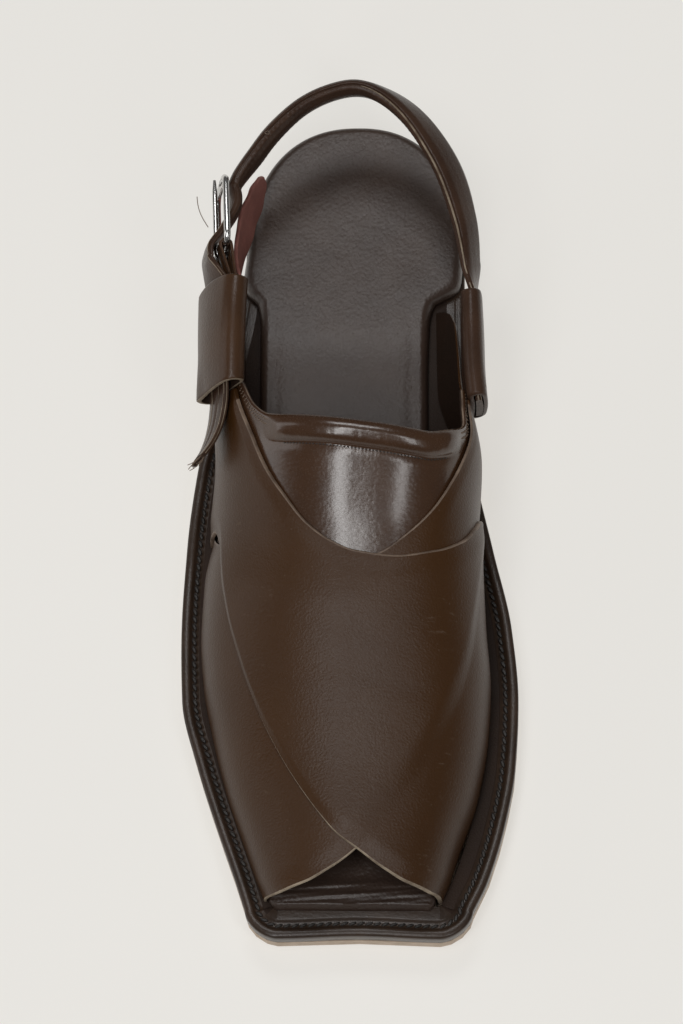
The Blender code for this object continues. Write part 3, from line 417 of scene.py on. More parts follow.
def makeDriftGroup():
    tree, given, result = newGroup(
        "dyeDrift",
        [("Colour", "Color", (0.1, 0.1, 0.1, 1.0)), ("Deep", "Color", (0.0, 0.0, 0.0, 1.0)),
         ("Amount", "Float", 0.5), ("Scale", "Float", 28.0)], [("Colour", "Color")])
    broad = setInputs(addNode(tree, "TexNoise"), Vector=addNode(tree, "TexCoord").outputs["Object"],
                      Scale=given["Scale"], Detail=4.0, Roughness=0.62).outputs["Fac"]
    mask = mathNode(tree, "MULTIPLY", spread(tree, broad, 0.34, 0.68), given["Amount"], True)
    setInputs(result, Colour=mixColours(tree, mask, given["Colour"], given["Deep"]))
    return tree


def makeScuffGroup():
    tree, given, result = newGroup(
        "scuffs", [("Amount", "Float", 0.3), ("Specks", "Float", 0.3)], [("Mask", "Float")])
    place = addNode(tree, "TexCoord").outputs["Object"]
    turned = setInputs(addNode(tree, "Mapping"), Vector=place, Rotation=(0.3, 0.5, 0.9),
                       Scale=(90.0, 900.0, 500.0))
    lines = setInputs(addNode(tree, "TexNoise"), Vector=turned.outputs["Vector"], Scale=1.0, Detail=3.0,
                      Roughness=0.7).outputs["Fac"]
    patches = setInputs(addNode(tree, "TexNoise"), Vector=place, Scale=46.0, Detail=1.0).outputs["Fac"]
    dots = setInputs(addNode(tree, "TexVoronoi", feature="F1"), Vector=place, Scale=260.0).outputs["Distance"]
    scratches = mathNode(tree, "MULTIPLY", spread(tree, lines, 0.60, 0.72), spread(tree, patches, 0.55, 0.70))
    scratches = mathNode(tree, "MULTIPLY", scratches, given["Amount"])
    specks = mathNode(tree, "MULTIPLY", spread(tree, dots, 0.10, 0.04), given["Specks"])
    setInputs(result, Mask=mathNode(tree, "ADD", scratches, specks, True))
    return tree


grainGroup = makeGrainGroup()
driftGroup = makeDriftGroup()
scuffGroup = makeScuffGroup()
scuffColour = (0.22, 0.17, 0.13, 1.0)


def leather(name, colour, deep, rough, roughSpread=0.06, drift=0.6, driftScale=28.0, grain=1400.0, wave=0.4,
            bump=0.5, depth=0.0003, coat=0.0, coatRough=0.3, specular=0.5, metal=0.0, scuff=0.0, specks=0.0):
    mat = bpy.data.materials.new(name)
    mat.use_nodes = True
    tree = mat.node_tree
    dye = setInputs(addNode(tree, "Group", node_tree=driftGroup), Colour=(*colour, 1.0), Deep=(*deep, 1.0),
                    Amount=drift, Scale=driftScale)
    hide = setInputs(addNode(tree, "Group", node_tree=grainGroup), Scale=grain, Wave=wave)
    marks = setInputs(addNode(tree, "Group", node_tree=scuffGroup), Amount=scuff, Specks=specks).outputs["Mask"]
    tone = spread(tree, hide.outputs["Tone"], 0.3, 0.7, rough - roughSpread, rough + roughSpread)
    relief = setInputs(addNode(tree, "Bump"), Strength=bump, Distance=depth, Height=hide.outputs["Height"])
    setInputs(tree.nodes["Principled BSDF"],
              Base_Color=mixColours(tree, marks, dye.outputs["Colour"], scuffColour),
              Roughness=mathNode(tree, "ADD", tone, marks, True), Normal=relief.outputs["Normal"],
              Coat_Weight=coat, Coat_Roughness=coatRough, Specular_IOR_Level=specular, Metallic=metal)
    mat.diffuse_color = (*colour, 1.0)
    return mat


vampLeather = leather(
    "vampLeather", (0.054, 0.0215, 0.0050), (0.041, 0.0160, 0.0040), rough=0.40, drift=0.55, driftScale=24.0,
    grain=1500.0, wave=0.28, bump=0.55, depth=0.00025, specular=0.30, scuff=0.30, specks=0.12)
glossLeather = leather(
    "glossLeather", (0.058, 0.0260, 0.0115), (0.034, 0.0155, 0.0075), rough=0.25, drift=0.5, driftScale=60.0,
    grain=780.0, wave=0.7, bump=0.34, depth=0.00025, coat=0.55, coatRough=0.17, specular=0.36)
strapLeather = leather(
    "strapLeather", (0.062, 0.034, 0.022), (0.034, 0.018, 0.012), rough=0.30, driftScale=80.0, grain=1100.0,
    bump=0.35, coat=0.03, coatRough=0.2, specular=0.14)
loopLeather = leather(
    "loopLeather", (0.068, 0.033, 0.016), (0.038, 0.018, 0.009), rough=0.32, driftScale=50.0, grain=1200.0,
    bump=0.4, depth=0.00025, coat=0.12, coatRough=0.26, specular=0.20)
bedLeather = leather(
    "bedLeather", (0.056, 0.034, 0.024), (0.032, 0.019, 0.014), rough=0.42, drift=0.7, driftScale=30.0,
    grain=900.0, bump=0.8, coat=0.15, specular=0.46)
cutEdge = leather(
    "cutEdge", (0.36, 0.29, 0.21), (0.10, 0.065, 0.04), rough=0.62, drift=0.9, driftScale=190.0, grain=2300.0)
burntEdge = leather(
    "burntEdge", (0.220, 0.155, 0.110), (0.060, 0.036, 0.024), rough=0.5, drift=0.8, driftScale=160.0,
    grain=2000.0)
# Dark leather for linings and undersides, also used as painted shade on the welt's platform
liningAndShadeLeather = leather(
    "liningAndShadeLeather", (0.030, 0.016, 0.010), (0.015, 0.009, 0.006), rough=0.6, grain=1800.0, specular=0.2)
fleshLeather = leather(
    "fleshLeather", (0.34, 0.135, 0.110), (0.20, 0.080, 0.064), rough=0.78, drift=0.7, driftScale=120.0,
    grain=2600.0, bump=0.8, specular=0.3)
weltLeather = leather(
    "weltLeather", (0.046, 0.027, 0.017), (0.022, 0.013, 0.008), rough=0.36, drift=0.7, driftScale=90.0,
    grain=1300.0, depth=0.0002, coat=0.16, coatRough=0.2, specular=0.30)
tanLeather = leather(
    "tanLeather", (0.62, 0.49, 0.38), (0.36, 0.26, 0.17), rough=0.58, driftScale=130.0, grain=1500.0, bump=0.3)
stackLeather = leather(
    "stackLeather", (0.070, 0.044, 0.028), (0.030, 0.018, 0.011), rough=0.42, drift=0.8, driftScale=110.0,
    grain=1500.0, bump=0.35)
heelRubber = leather(
    "heelRubber", (0.022, 0.022, 0.022), (0.014, 0.014, 0.014), rough=0.74, grain=1900.0, bump=0.4,
    specular=0.35)
darkThread = leather(
    "darkThread", (0.020, 0.015, 0.012), (0.010, 0.008, 0.006), rough=0.5, grain=3200.0, depth=0.0002)
brownThread = leather(
    "brownThread", (0.200, 0.140, 0.100), (0.100, 0.070, 0.050), rough=0.6, grain=3200.0, depth=0.0002)
steel = leather(
    "steel", (0.66, 0.65, 0.64), (0.50, 0.49, 0.48), rough=0.20, roughSpread=0.05, drift=0.5, driftScale=300.0,
    grain=2500.0, bump=0.04, depth=0.0002, metal=1.0)
print("materials made")


# Panels of the upper: fine sheets with skived, rounded edges, pale in front, burnt at the throat, dark behind
panel = {"wall": 0.0020, "underWall": 0.60, "ride": 0.62, "skive": 0.62, "skiveReach": 0.0070, "round": 0.0006,
         "girthSteps": 230, "crossSteps": 84, "paleRows": 3, "paleFrom": 0.555, "burntFrom": 0.400,
         "uneven": 0.00006, "drape": (-0.004, 0.014), "hide": (-0.002, 0.016), "lateralFrom": (0.44, 0.50)}
edgeSteps = np.array([0.0, 0.00012, 0.00032, 0.00060, 0.0010, 0.0017, 0.0027, 0.0042])

# Soft creases of the vamp: share at the medial and lateral end, t span, depth, width
creases = [
    (0.742, 0.712, 0.30, 0.62, 0.00005, 0.0030), (0.786, 0.752, 0.34, 0.66, 0.00004, 0.0026),
    (0.690, 0.650, 0.36, 0.70, 0.00004, 0.0032)]


def vampRelief(t, share):
    relief = panel["uneven"] * np.sin(38.0 * share + 6.0 * t) * np.sin(17.0 * t + 9.0 * share)
    for medial, lateral, low, high, depth, width in creases:
        middle = medial + (lateral - medial) * (t - low) / (high - low) + 0.004 * np.sin(21.0 * t)
        span = smoothStep(low - 0.06, low + 0.06, t) * (1.0 - smoothStep(high - 0.06, high + 0.06, t))
        away = (share - middle) * shoe["length"] / width
        relief = relief - depth * span * (np.exp(-away * away) - 0.5 * np.exp(-((away - 1.7) ** 2)))
    return relief


def rearEdge(tab, t):
    edge = curveAt(tab, "rear", t)
    for loop in (lateralLoop, medialLoop):
        half = abs(float(beside(loop["frontT"], loop["front"], loop["height"] / 2.0)) - loop["frontT"])
        stop = 1.0 - smoothStep(half + 0.004, half + 0.012, np.abs(t - loop["frontT"]))
        blocked = edge + (loop["front"] + shoe["gap"] / shoe["length"] - edge) * stop
        edge = np.maximum(edge, blocked)
    return edge


def panelPlaces(tab, low, high):
    t = np.linspace(low, high, panel["girthSteps"])
    front = curveAt(tab, "front", t)
    rear = rearEdge(tab, t)
    width = (front - rear) * shoe["length"]
    middle = np.linspace(0.0, 1.0, panel["crossSteps"])[1:-1]
    inner = edgeSteps[-1] + (width[:, None] - 2.0 * edgeSteps[-1]) * middle
    away = np.concatenate([np.broadcast_to(edgeSteps, (len(t), len(edgeSteps))), inner,
                           width[:, None] - edgeSteps[::-1]], 1)
    share = front[:, None] - away / shoe["length"]
    edge = np.minimum(away, width[:, None] - away)
    return np.broadcast_to(t[:, None], share.shape), share, edge


def pastUnder(t, share):
    ahead = (curveAt(underTab, "front", t) - share) * shoe["length"]
    behind = (share - curveAt(underTab, "rear", t)) * shoe["length"]
    return ahead, behind


def drape(t, share):
    ahead, behind = pastUnder(t, share)
    return smoothStep(*panel["drape"], ahead) * smoothStep(*panel["drape"], behind)


def wallAt(edge):
    skive = panel["skive"] + (1.0 - panel["skive"]) * smoothStep(0.0, panel["skiveReach"], edge)
    bend = np.sqrt(1.0 - (1.0 - np.clip(edge / panel["round"], 0.0, 1.0)) ** 2)
    return panel["wall"] * skive * (0.35 + 0.65 * bend)


def hiddenTaper(t, share):
    ahead, behind = pastUnder(t, share)
    lateral = smoothStep(*panel["lateralFrom"], t)
    front = 1.0 - (1.0 - smoothStep(*panel["hide"], ahead)) * (1.0 - lateral)
    rear = 1.0 - (1.0 - smoothStep(*panel["hide"], behind)) * lateral
    return front * rear * panel["underWall"]


def makePanel(name, tab, low, high, ride, taper):
    t, share, edge = panelPlaces(tab, low, high)
    base = panel["wall"] * panel["ride"] * ride(t, share)
    relief = vampRelief(t, share) * smoothStep(0.0, 0.004, edge)
    outer = np.swapaxes(onLast(t, share, base + wallAt(edge) * taper(t, share) + relief), 0, 1)
    inner = np.swapaxes(onLast(t, share, base), 0, 1)
    made = shellPiece(name, outer, inner, [vampLeather, cutEdge, liningAndShadeLeather, burntEdge],
                      rimRows=panel["paleRows"], flip=True, farRim=3)
    for face in made.data.polygons:
        if face.material_index == 1 and face.center.y > alongY(panel["paleFrom"]):
            face.material_index = 3
        if face.material_index == 3 and face.center.y > alongY(panel["burntFrom"]):
            face.material_index = 0
    return made


topPanel = makePanel("topPanel", topTab, 0.0, 1.0, drape, lambda t, s: 1.0)
underPanel = makePanel("underPanel", underTab, 0.004, 0.996, lambda t, s: 0.0 * t, hiddenTaper)
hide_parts("upper")
print("panels made")

# Throat panel with its stuffed roll along the rear edge. A part is a share of the roll's width
throat = {"wall": 0.0018, "clearance": 0.0007, "rollWidth": 0.0080, "roll": 0.0054, "from": 0.090, "to": 0.915,
          "girthSteps": 300, "rollSteps": 26, "rollEnd": 1.12, "pucker": 0.00002, "fold": 0.00002,
          "stitch": 0.00115, "row": 1.03, "rowSpan": (0.275, 0.672), "thread": (0.00072, 0.00042, 0.00030)}
cornerRow = {"spans": ((0.160, 0.235), (0.708, 0.778)), "lanes": (0.0014, 0.0030), "count": 17,
             "lift": 0.00012, "thread": (0.00105, 0.00040, 0.00045)}
rollTab = table(
    "part half",
    (0.0, 0.25), (0.06, 0.52), (0.14, 0.75), (0.26, 0.93), (0.38, 1.0), (0.54, 0.98),
    (0.66, 0.92), (0.80, 0.72), (0.90, 0.46), (0.98, 0.27), (1.04, 0.27), (1.12, 0.33))


def rollAmount(t):
    return smoothStep(0.222, 0.285, t) * (1.0 - smoothStep(0.660, 0.728, t))


def makeThroat():
    flat = throat["wall"] / 2.0
    full = throat["roll"] / 2.0
    middle = -throat["clearance"] - flat
    steps = throat["rollSteps"]
    t = np.linspace(throat["from"], throat["to"], throat["girthSteps"])
    front = curveAt(throatTab, "front", t)
    rear = curveAt(throatTab, "rear", t)
    rollParts = np.linspace(0.0, 1.0, steps) ** 1.2 * throat["rollEnd"]
    onRoll = rear[:, None] + rollParts * throat["rollWidth"] / shoe["length"]
    rest = onRoll[:, -1:] + (front[:, None] - onRoll[:, -1:]) * np.linspace(0.0, 1.0, steps)[1:]
    share = np.concatenate([onRoll, rest], 1)
    amount = rollAmount(t)[:, None]
    half = flat + (full * curveAt(rollTab, "half", rollParts) - flat) * amount
    half = np.concatenate([half, np.full(rest.shape, flat)], 1)
    rim = np.sqrt(1.0 - (1.0 - np.clip(rollParts / 0.08, 0.0, 1.0)) ** 2)
    half[:, :steps] *= 1.0 - (1.0 - amount) * 0.7 * (1.0 - rim)
    tt = np.broadcast_to(t[:, None], share.shape)
    lane = (share - rear[:, None]) * shoe["length"] / throat["rollWidth"]
    arc = runOf(onLast(t, rear + 0.03, 0.0))
    pull = np.cos(2.0 * math.pi * arc / throat["stitch"])[:, None]
    folds = np.sin(2.0 * math.pi * arc / 0.0041 + 1.3 * np.sin(arc * 700.0))[:, None]
    relief = (throat["pucker"] * np.exp(-((lane - throat["row"]) / 0.10) ** 2) * pull
              + throat["fold"] * np.exp(-((lane - 0.8) / 0.35) ** 2) * folds) * amount
    outer = np.swapaxes(onLast(tt, share, middle + half + relief), 0, 1)
    inner = np.swapaxes(onLast(tt, share, middle - half), 0, 1)
    made = shellPiece("throatPanel", outer, inner, [glossLeather, burntEdge, liningAndShadeLeather])
    inside = (t > throat["rowSpan"][0]) & (t < throat["rowSpan"][1])
    marks = np.interp(np.arange(arc[inside][0], arc[inside][-1], throat["stitch"]), arc, t)
    atRow = curveAt(throatTab, "rear", marks) + throat["row"] * throat["rollWidth"] / shoe["length"]
    places = onLast(marks, atRow, middle + flat)
    threads = stitchesPiece("rollStitches", places, np.gradient(places, axis=0), lastNormal(marks, atRow),
                            throat["thread"], [darkThread])
    return made, threads, middle + flat


def makeCornerStitches(skin):
    runs = [(np.linspace(low, high, cornerRow["count"]), lane / shoe["length"])
            for low, high in cornerRow["spans"] for lane in cornerRow["lanes"]]
    t = np.concatenate([run for run, lane in runs])
    share = np.concatenate([curveAt(throatTab, "rear", run) + lane for run, lane in runs])
    middle = skin - throat["wall"] / 2.0
    ahead = onLast(t + 0.004, share, middle) - onLast(t - 0.004, share, middle)
    return stitchesPiece("cornerStitches", onLast(t, share, skin + cornerRow["lift"]), ahead,
                         lastNormal(t, share), cornerRow["thread"], [brownThread])


throatPanel, rollStitches, throatSkin = makeThroat()
makeCornerStitches(throatSkin)
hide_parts("throat_panel")
print("throat made")


# Loops: raw-edged bands round the strap
def roundSection(height, thickness, ends=7, sides=14):
    radius = thickness / 2.0
    reach = height / 2.0 - radius
    points = []
    for end, start in ((1.0, -math.pi / 2.0), (-1.0, math.pi / 2.0)):
        for k in range(ends + 1):
            angle = start + math.pi * k / ends
            points.append((end * reach + radius * math.cos(angle), radius * math.sin(angle)))
        for k in range(1, sides):
            points.append((end * reach * (1.0 - 2.0 * k / sides), end * radius))
    return np.array(points)


bandCut = {"ends": np.array([0.0, 0.00015, 0.0004, 0.0008]), "from": 0.0016, "steps": 24,
           "belly": 0.0005, "shave": 0.45}


def makeLoop(name, loop, chape, mats):
    roof = loop["innerWall"] + chape + strap["flat"] + 2.0 * shoe["gap"]
    hole = roundSection(loop["height"] - 2.0 * loop["wall"], roof - loop["innerWall"])
    skin = roundSection(loop["height"], roof + loop["wall"])
    length = (loop["front"] - loop["rear"]) * shoe["length"]
    inward = np.linspace(bandCut["from"], length - bandCut["from"], bandCut["steps"])
    away = np.concatenate([bandCut["ends"], inward, length - bandCut["ends"][::-1]])

    def formAt(section, part):
        up = section[:, 0] / (loop["height"] / 2.0)
        out = np.maximum(section[:, 1] / ((roof + loop["wall"]) / 2.0), 0.0)
        bow = loop["arch"] * (1.0 - up ** 2) * (1.0 - part) ** 2 / shoe["length"]
        return up, out, bow, loop["curl"] * smoothStep(0.55, 1.0, part) * smoothStep(0.2, 1.0, -up) * out

    outer = []
    inner = []
    for spot in away:
        share = loop["rear"] + spot / shoe["length"]
        part = spot / length
        t = loop["rearT"] + (loop["frontT"] - loop["rearT"]) * part
        bend = math.sqrt(1.0 - (1.0 - min(min(spot, length - spot) / panel["round"], 1.0)) ** 2)
        up, out, bow, flare = formAt(skin, part)
        belly = out * bandCut["belly"] * math.sin(math.pi * part) * (1.0 - up ** 2)
        shave = (1.0 - bend) * loop["wall"] * bandCut["shave"]
        moved = skin * (1.0 - shave / np.maximum(np.abs(skin).max(0), 1e-6))
        offset = (roof + loop["wall"]) / 2.0 + moved[:, 1] + belly + flare
        outer.append(onLast(beside(t, share, moved[:, 0]), share - bow, offset))
        up, out, bow, flare = formAt(hole, part)
        inner.append(onLast(beside(t, share, hole[:, 0]), share - bow,
                            (roof + loop["innerWall"]) / 2.0 + hole[:, 1] + flare))
    return shellPiece(name, np.array(outer), np.array(inner), mats, rimRows=1, closed=True,
                      flip=loop["frontT"] > 0.5)


chapeSpace = 2.0 * (buckle["chape"] + shoe["gap"])
lateralBand = makeLoop("lateralBand", lateralLoop, chapeSpace, [loopLeather, cutEdge, liningAndShadeLeather])
medialBand = makeLoop("medialBand", medialLoop, 0.0, [strapLeather, strapLeather, liningAndShadeLeather])
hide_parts("lateral_loop")
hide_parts("medial_loop")


bandRow = {"rows": (0.0, 0.0016), "t": 0.131, "inset": 0.012, "edge": 0.0034, "count": 22, "lift": 0.00004,
           "thread": (0.00095, 0.00030, 0.00032)}


def makeBandStitches():
    roof = medialLoop["innerWall"] + strap["flat"] + 2.0 * shoe["gap"] + medialLoop["wall"]
    share = np.linspace(medialLoop["rear"] + bandRow["inset"], medialLoop["front"] - bandRow["inset"],
                        bandRow["count"])
    t = np.concatenate([beside(bandRow["t"], share, medialLoop["height"] / 2.0 - bandRow["edge"] - row)
                        for row in bandRow["rows"]])
    share = np.tile(share, len(bandRow["rows"]))
    ahead = onLast(t, share + 0.003, roof) - onLast(t, share - 0.003, roof)
    return stitchesPiece("bandStitches", onLast(t, share, roof + bandRow["lift"]), ahead, lastNormal(t, share),
                         bandRow["thread"], [brownThread])


makeBandStitches()
print("loops made")


# Heel strap: outer strip, groove and padded liner with fine wrinkles; flat layered ends, tail of three strips
def leanFrame(forward, lean):
    forward = unit(forward)
    outward = unit(np.cross(forward, np.array([0.0, 0.0, 1.0])))
    upward = unit(np.cross(outward, forward))
    angle = np.radians(lean)[..., None]
    return (upward * np.cos(angle) - outward * np.sin(angle), outward * np.cos(angle) + upward * np.sin(angle))


def spline(a, b, c, d, u):
    return 0.5 * (2.0 * b + (c - a) * u + (2.0 * a - 5.0 * b + 4.0 * c - d) * u * u
                  + (3.0 * b - a - 3.0 * c + d) * u ** 3)


def catmull(points, perSpan):
    points = np.asarray(points, float)
    last = len(points) - 1
    out = []
    for i in range(last):
        steps = perSpan + (1 if i == last - 1 else 0)
        u = (np.arange(steps) / perSpan)[:, None]
        out.append(spline(points[max(i - 1, 0)], points[i], points[i + 1], points[min(i + 2, last)], u))
    return np.concatenate(out)


def placesOf(rows):
    return [(acrossX(row[1]), alongY(row[0]), *row[2:]) for row in rows]


def leanPath(places, perSpan):
    path = catmull(places, perSpan)
    ahead = np.concatenate([path[1:, :3], path[-1:, :3]]) - np.concatenate([path[:1, :3], path[:-1, :3]])
    return (path, *leanFrame(ahead, path[:, 3]))


def buckleAxes():
    turn = math.radians(buckle["turn"])
    forward = np.array([-math.sin(turn), -math.cos(turn), 0.0])
    up, out = leanFrame(forward, np.array(buckle["lean"]))
    centre = np.array([acrossX(buckle["across"]), alongY(buckle["share"]), buckle["z"]])
    return centre, forward, up, out


barOffset = (buckle["length"] - buckle["wire"]) / 2.0
hookRadius = (buckle["wire"] + buckle["prong"]) / 2.0 + shoe["gap"]


def bucklePlaces():
    centre, forward, up, out = buckleAxes()
    under = -(buckle["wire"] + strap["flat"]) / 2.0 - 2.0 * shoe["gap"]
    over = hookRadius + (buckle["prong"] + strap["flat"]) / 2.0 + 2.0 * shoe["gap"]
    stations = ((-barOffset, under - 0.0014, 0.80), (-0.3 * barOffset, under - 0.0012, 0.55),
                (0.45 * barOffset, 0.15 * over, 0.1), (barOffset, over, 0.0), (1.45 * barOffset, over, 0.0))
    return [(*(centre + forward * ahead + out * height), buckle["lean"], pad)
            for ahead, height, pad in stations]


strapCut = {"around": 64, "step": 0.00042, "groove": 0.00100, "grooveWidth": 0.00040, "grooveOut": 0.0007,
            "wrinkle": 0.00016, "wave": 0.0019, "layer": 0.00025, "layerWidth": 0.00016,
            "lanes": (-0.00042, 0.00042), "paleOut": 0.00055, "split": 0.0024, "splitWidth": 0.0006,
            "splitDepth": 0.00045, "medialSide": 0.004}


def strapSection(pad):
    half = strap["width"] / 2.0
    thick = strap["flat"] + (strap["pad"] - strap["flat"]) * pad
    edge = strap["flat"] + (strap["edge"] - strap["flat"]) * pad
    angle = 2.0 * math.pi * (np.arange(strapCut["around"]) + 0.5) / strapCut["around"]
    up = np.cos(angle)
    a = np.abs(up)
    keys = np.array([0.0, 0.55, 0.93, 1.0])
    values = np.array([0.50 * thick, 0.46 * thick, 0.42 * edge, 0.0])
    out = np.where(a < 0.93, curveAt({"key": keys[:3], "v": values[:3]}, "v", a),
                   values[2] * np.sqrt(np.maximum(1.0 - ((a - 0.93) / 0.07) ** 2, 0.0)))
    return np.stack([up * half, np.sign(np.sin(angle)) * out], -1)


def strapRings():
    gap = shoe["gap"]
    flat = strapSection(0.0)
    front = medialLoop["front"]
    rear = medialLoop["rear"]
    seat = medialLoop["innerWall"] + gap + strap["flat"] / 2.0
    rings = []
    for share in (front + 0.002, front - 0.015, (front + rear) / 2.0, rear + 0.01, rear - 0.003):
        t = medialLoop["rearT"] + (medialLoop["frontT"] - medialLoop["rearT"]) * (share - rear) / (front - rear)
        rings.append(sectionOnLast(t, share, seat, flat))
    pads = [0.0] * len(rings)
    path, ups, outs = leanPath(placesOf(strapRows) + bucklePlaces(), 3)
    for place, up, out in zip(path, ups, outs):
        pad = float(np.clip(place[4], 0.0, 1.0))
        section = strapSection(pad)
        rings.append(place[:3] + up * section[:, :1] + out * section[:, 1:])
        pads.append(pad)
    length = lateralLoop["front"] - lateralLoop["rear"]
    for part in (0.02, 0.2, 0.5, 0.8, 1.0):
        share = lateralLoop["rear"] + length * part
        t = lateralLoop["rearT"] + (lateralLoop["frontT"] - lateralLoop["rearT"]) * part
        t = t + (strap["tailT"] - lateralLoop["frontT"]) * float(smoothStep(0.1, 1.0, part))
        blend = float(smoothStep(0.45, 1.0, part))
        over = lateralLoop["wall"] + chapeSpace + (panel["wall"] - lateralLoop["wall"] - chapeSpace) * blend
        rings.append(sectionOnLast(t, share, over + gap + strap["flat"] / 2.0, flat))
    for u in np.arange(1, strap["tailRings"] + 1) / strap["tailRings"]:
        share = lateralLoop["front"] + (strap["tailEnd"] - lateralLoop["front"]) * u
        t = float(beside(strap["tailT"], share, -strap["tailDrop"] * u * u))
        lift = panel["wall"] + gap + strap["flat"] / 2.0 + gap * u + strap["tailLift"] * u * u
        rings.append(sectionOnLast(t, share, lift, flat))
    return np.array(rings), np.array(pads + [0.0] * (len(rings) - len(pads)))


# Across the strap, up runs to its top edge and out away from the foot; high is 1 at both edges
def makeStrap():
    coarse, pads = strapRings()
    run = runOf(coarse.mean(1))
    last = len(run) - 1
    fineRun = np.linspace(0.0, run[-1], int(run[-1] / strapCut["step"]))
    at = np.interp(fineRun, run, np.arange(len(run), dtype=float))
    i = np.clip(at.astype(int), 0, last - 1)
    rings = spline(coarse[np.maximum(i - 1, 0)], coarse[i], coarse[i + 1], coarse[np.minimum(i + 2, last)],
                   (at - i)[:, None, None])
    pad = np.interp(fineRun, run, pads)[:, None]
    half = strapCut["around"] // 2
    centre = rings.mean(1, keepdims=True)
    upAxis = unit(rings[:, :1] - rings[:, half:half + 1])
    forward = unit(np.gradient(centre[:, 0], axis=0))[:, None]
    outAxis = unit(np.cross(forward, upAxis))
    up = ((rings - centre) * upAxis).sum(-1)
    out = ((rings - centre) * outAxis).sum(-1)
    sign = np.sign(((rings[:, half // 2] - rings[:, half + half // 2]) * outAxis[:, 0]).sum(-1))[:, None]
    out = out * sign
    outAxis = outAxis * sign[..., None]
    high = np.abs(up) / (strap["width"] / 2.0)
    lip = smoothStep(0.60, 0.86, high)
    groove = np.exp(-((out - strapCut["grooveOut"]) / strapCut["grooveWidth"]) ** 2) * lip * pad
    phase = 2.0 * math.pi * fineRun / strapCut["wave"]
    phase = phase + 1.7 * np.sin(fineRun * 190.0) + 0.9 * np.sin(fineRun * 517.0 + 1.0)
    ripple = -(np.abs(np.sin(0.5 * phase)) ** 0.7)[:, None]
    patch = (0.55 + 0.45 * np.sin(fineRun * 83.0 + 0.6))[:, None]
    liner = (1.0 - smoothStep(-0.0004, 0.0006, out)) * pad
    push = -strapCut["groove"] * groove + (
        strapCut["wrinkle"] * liner * patch * ripple * smoothStep(0.25, 0.8, high))
    flatness = 1.0 - smoothStep(0.0, 0.3, pad)
    for lane in strapCut["lanes"]:
        notch = np.exp(-((out - lane) / strapCut["layerWidth"]) ** 2) * smoothStep(0.90, 0.98, high)
        push = push - strapCut["layer"] * notch * flatness
    tail = (fineRun > run[-1 - strap["tailRings"]] - 0.004)[:, None]
    fromSplit = np.abs(up) - strapCut["split"]
    push = push - strapCut["splitDepth"] * np.exp(-(fromSplit / strapCut["splitWidth"]) ** 2) * tail
    radial = unit(up[..., None] * upAxis + 2.0 * out[..., None] * outAxis)
    rings = rings + radial * push[..., None]
    pale = (np.abs(np.abs(out) - strapCut["paleOut"]) < 0.00012) & (high > 0.9) & (flatness > 0.5)
    pale |= tail & (np.abs(fromSplit - strapCut["splitWidth"]) < 0.00034) & (out > 0.0)
    pale |= (np.arange(strapCut["around"]) == 0) & (pad > 0.3) & (centre[:, 0, :1] > strapCut["medialSide"])
    slots = pale.reshape(-1)[gridFaces(len(rings), strapCut["around"], 0, True)[:, 0]].astype(int)
    return barPiece("heelBand", rings, [strapLeather, cutEdge], slots, flip=True), rings


heelBand, strapSkin = makeStrap()
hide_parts("heel_strap")
print("strap made")


# Guard flap between the buckle and the foot
def makeGuard():
    path, ups, outs = leanPath(placesOf(guardRows), 12)
    rings = []
    for k, place in enumerate(path):
        section = roundSection(guard["height"] * max(place[4], 0.25), guard["thickness"], 5, 12)
        wavy = guard["wave"] * math.sin(k * 0.37) * (section[:, :1] / (guard["height"] / 2.0))
        rings.append(place[:3] + ups[k] * section[:, :1] + outs[k] * (section[:, 1:] + wavy))
    offset = -shoe["gap"] - guard["thickness"] / 2.0
    section = roundSection(guard["height"], guard["thickness"], 5, 12)
    rear = lateralLoop["rear"]
    for share in (rear + 0.003, (rear + guard["seat"]) / 2.0, guard["seat"]):
        rings.append(sectionOnLast(guard["t"], share, offset, section))
    return barPiece("guardFlap", rings, [fleshLeather, burntEdge], flip=True)


guardFlap = makeGuard()
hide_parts("buckle_guard")


# Buckle of smooth round wire, and its prong
def makeBuckle():
    centre, forward, up, out = buckleAxes()
    halfHeight = (buckle["height"] - buckle["wire"]) / 2.0
    angle = 2.0 * math.pi * np.arange(20) / 20
    rings = []
    for corner in range(4):
        start = math.pi / 2.0 * corner
        ahead = math.copysign(barOffset - buckle["corner"], math.cos(start + math.pi / 4.0))
        above = math.copysign(halfHeight - buckle["corner"], math.sin(start + math.pi / 4.0))
        for k in range(9):
            turn = start + math.pi / 2.0 * k / 8.0
            radial = forward * math.cos(turn) + up * math.sin(turn)
            point = centre + forward * ahead + up * above + radial * buckle["corner"]
            rings.append(point + buckle["wire"] / 2.0 * (radial * np.cos(angle)[:, None]
                                                         + out * np.sin(angle)[:, None]))
    made = barPiece("buckleRing", rings, [steel], loop=True, flip=True, sharp=60.0)
    path = [centre - forward * (barOffset + buckle["reach"]) + out * hookRadius]
    path += [centre + forward * barOffset * part + out * hookRadius for part in np.linspace(-0.9, 0.9, 14)]
    for turn in np.radians(buckle["hook"]) * np.arange(22) / 21.0:
        path.append(centre + forward * (barOffset + hookRadius * math.sin(turn))
                    + out * hookRadius * math.cos(turn))
    radius = np.full(len(path), buckle["prong"] / 2.0)
    radius[:2] *= (0.55, 0.9)
    return made, barPiece("buckleTongue", tubeRings(path, radius, 16, up), [steel], sharp=60.0)


buckleRing, buckleTongue = makeBuckle()
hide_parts("buckle_frame")
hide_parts("buckle_prong")
print("buckle made")


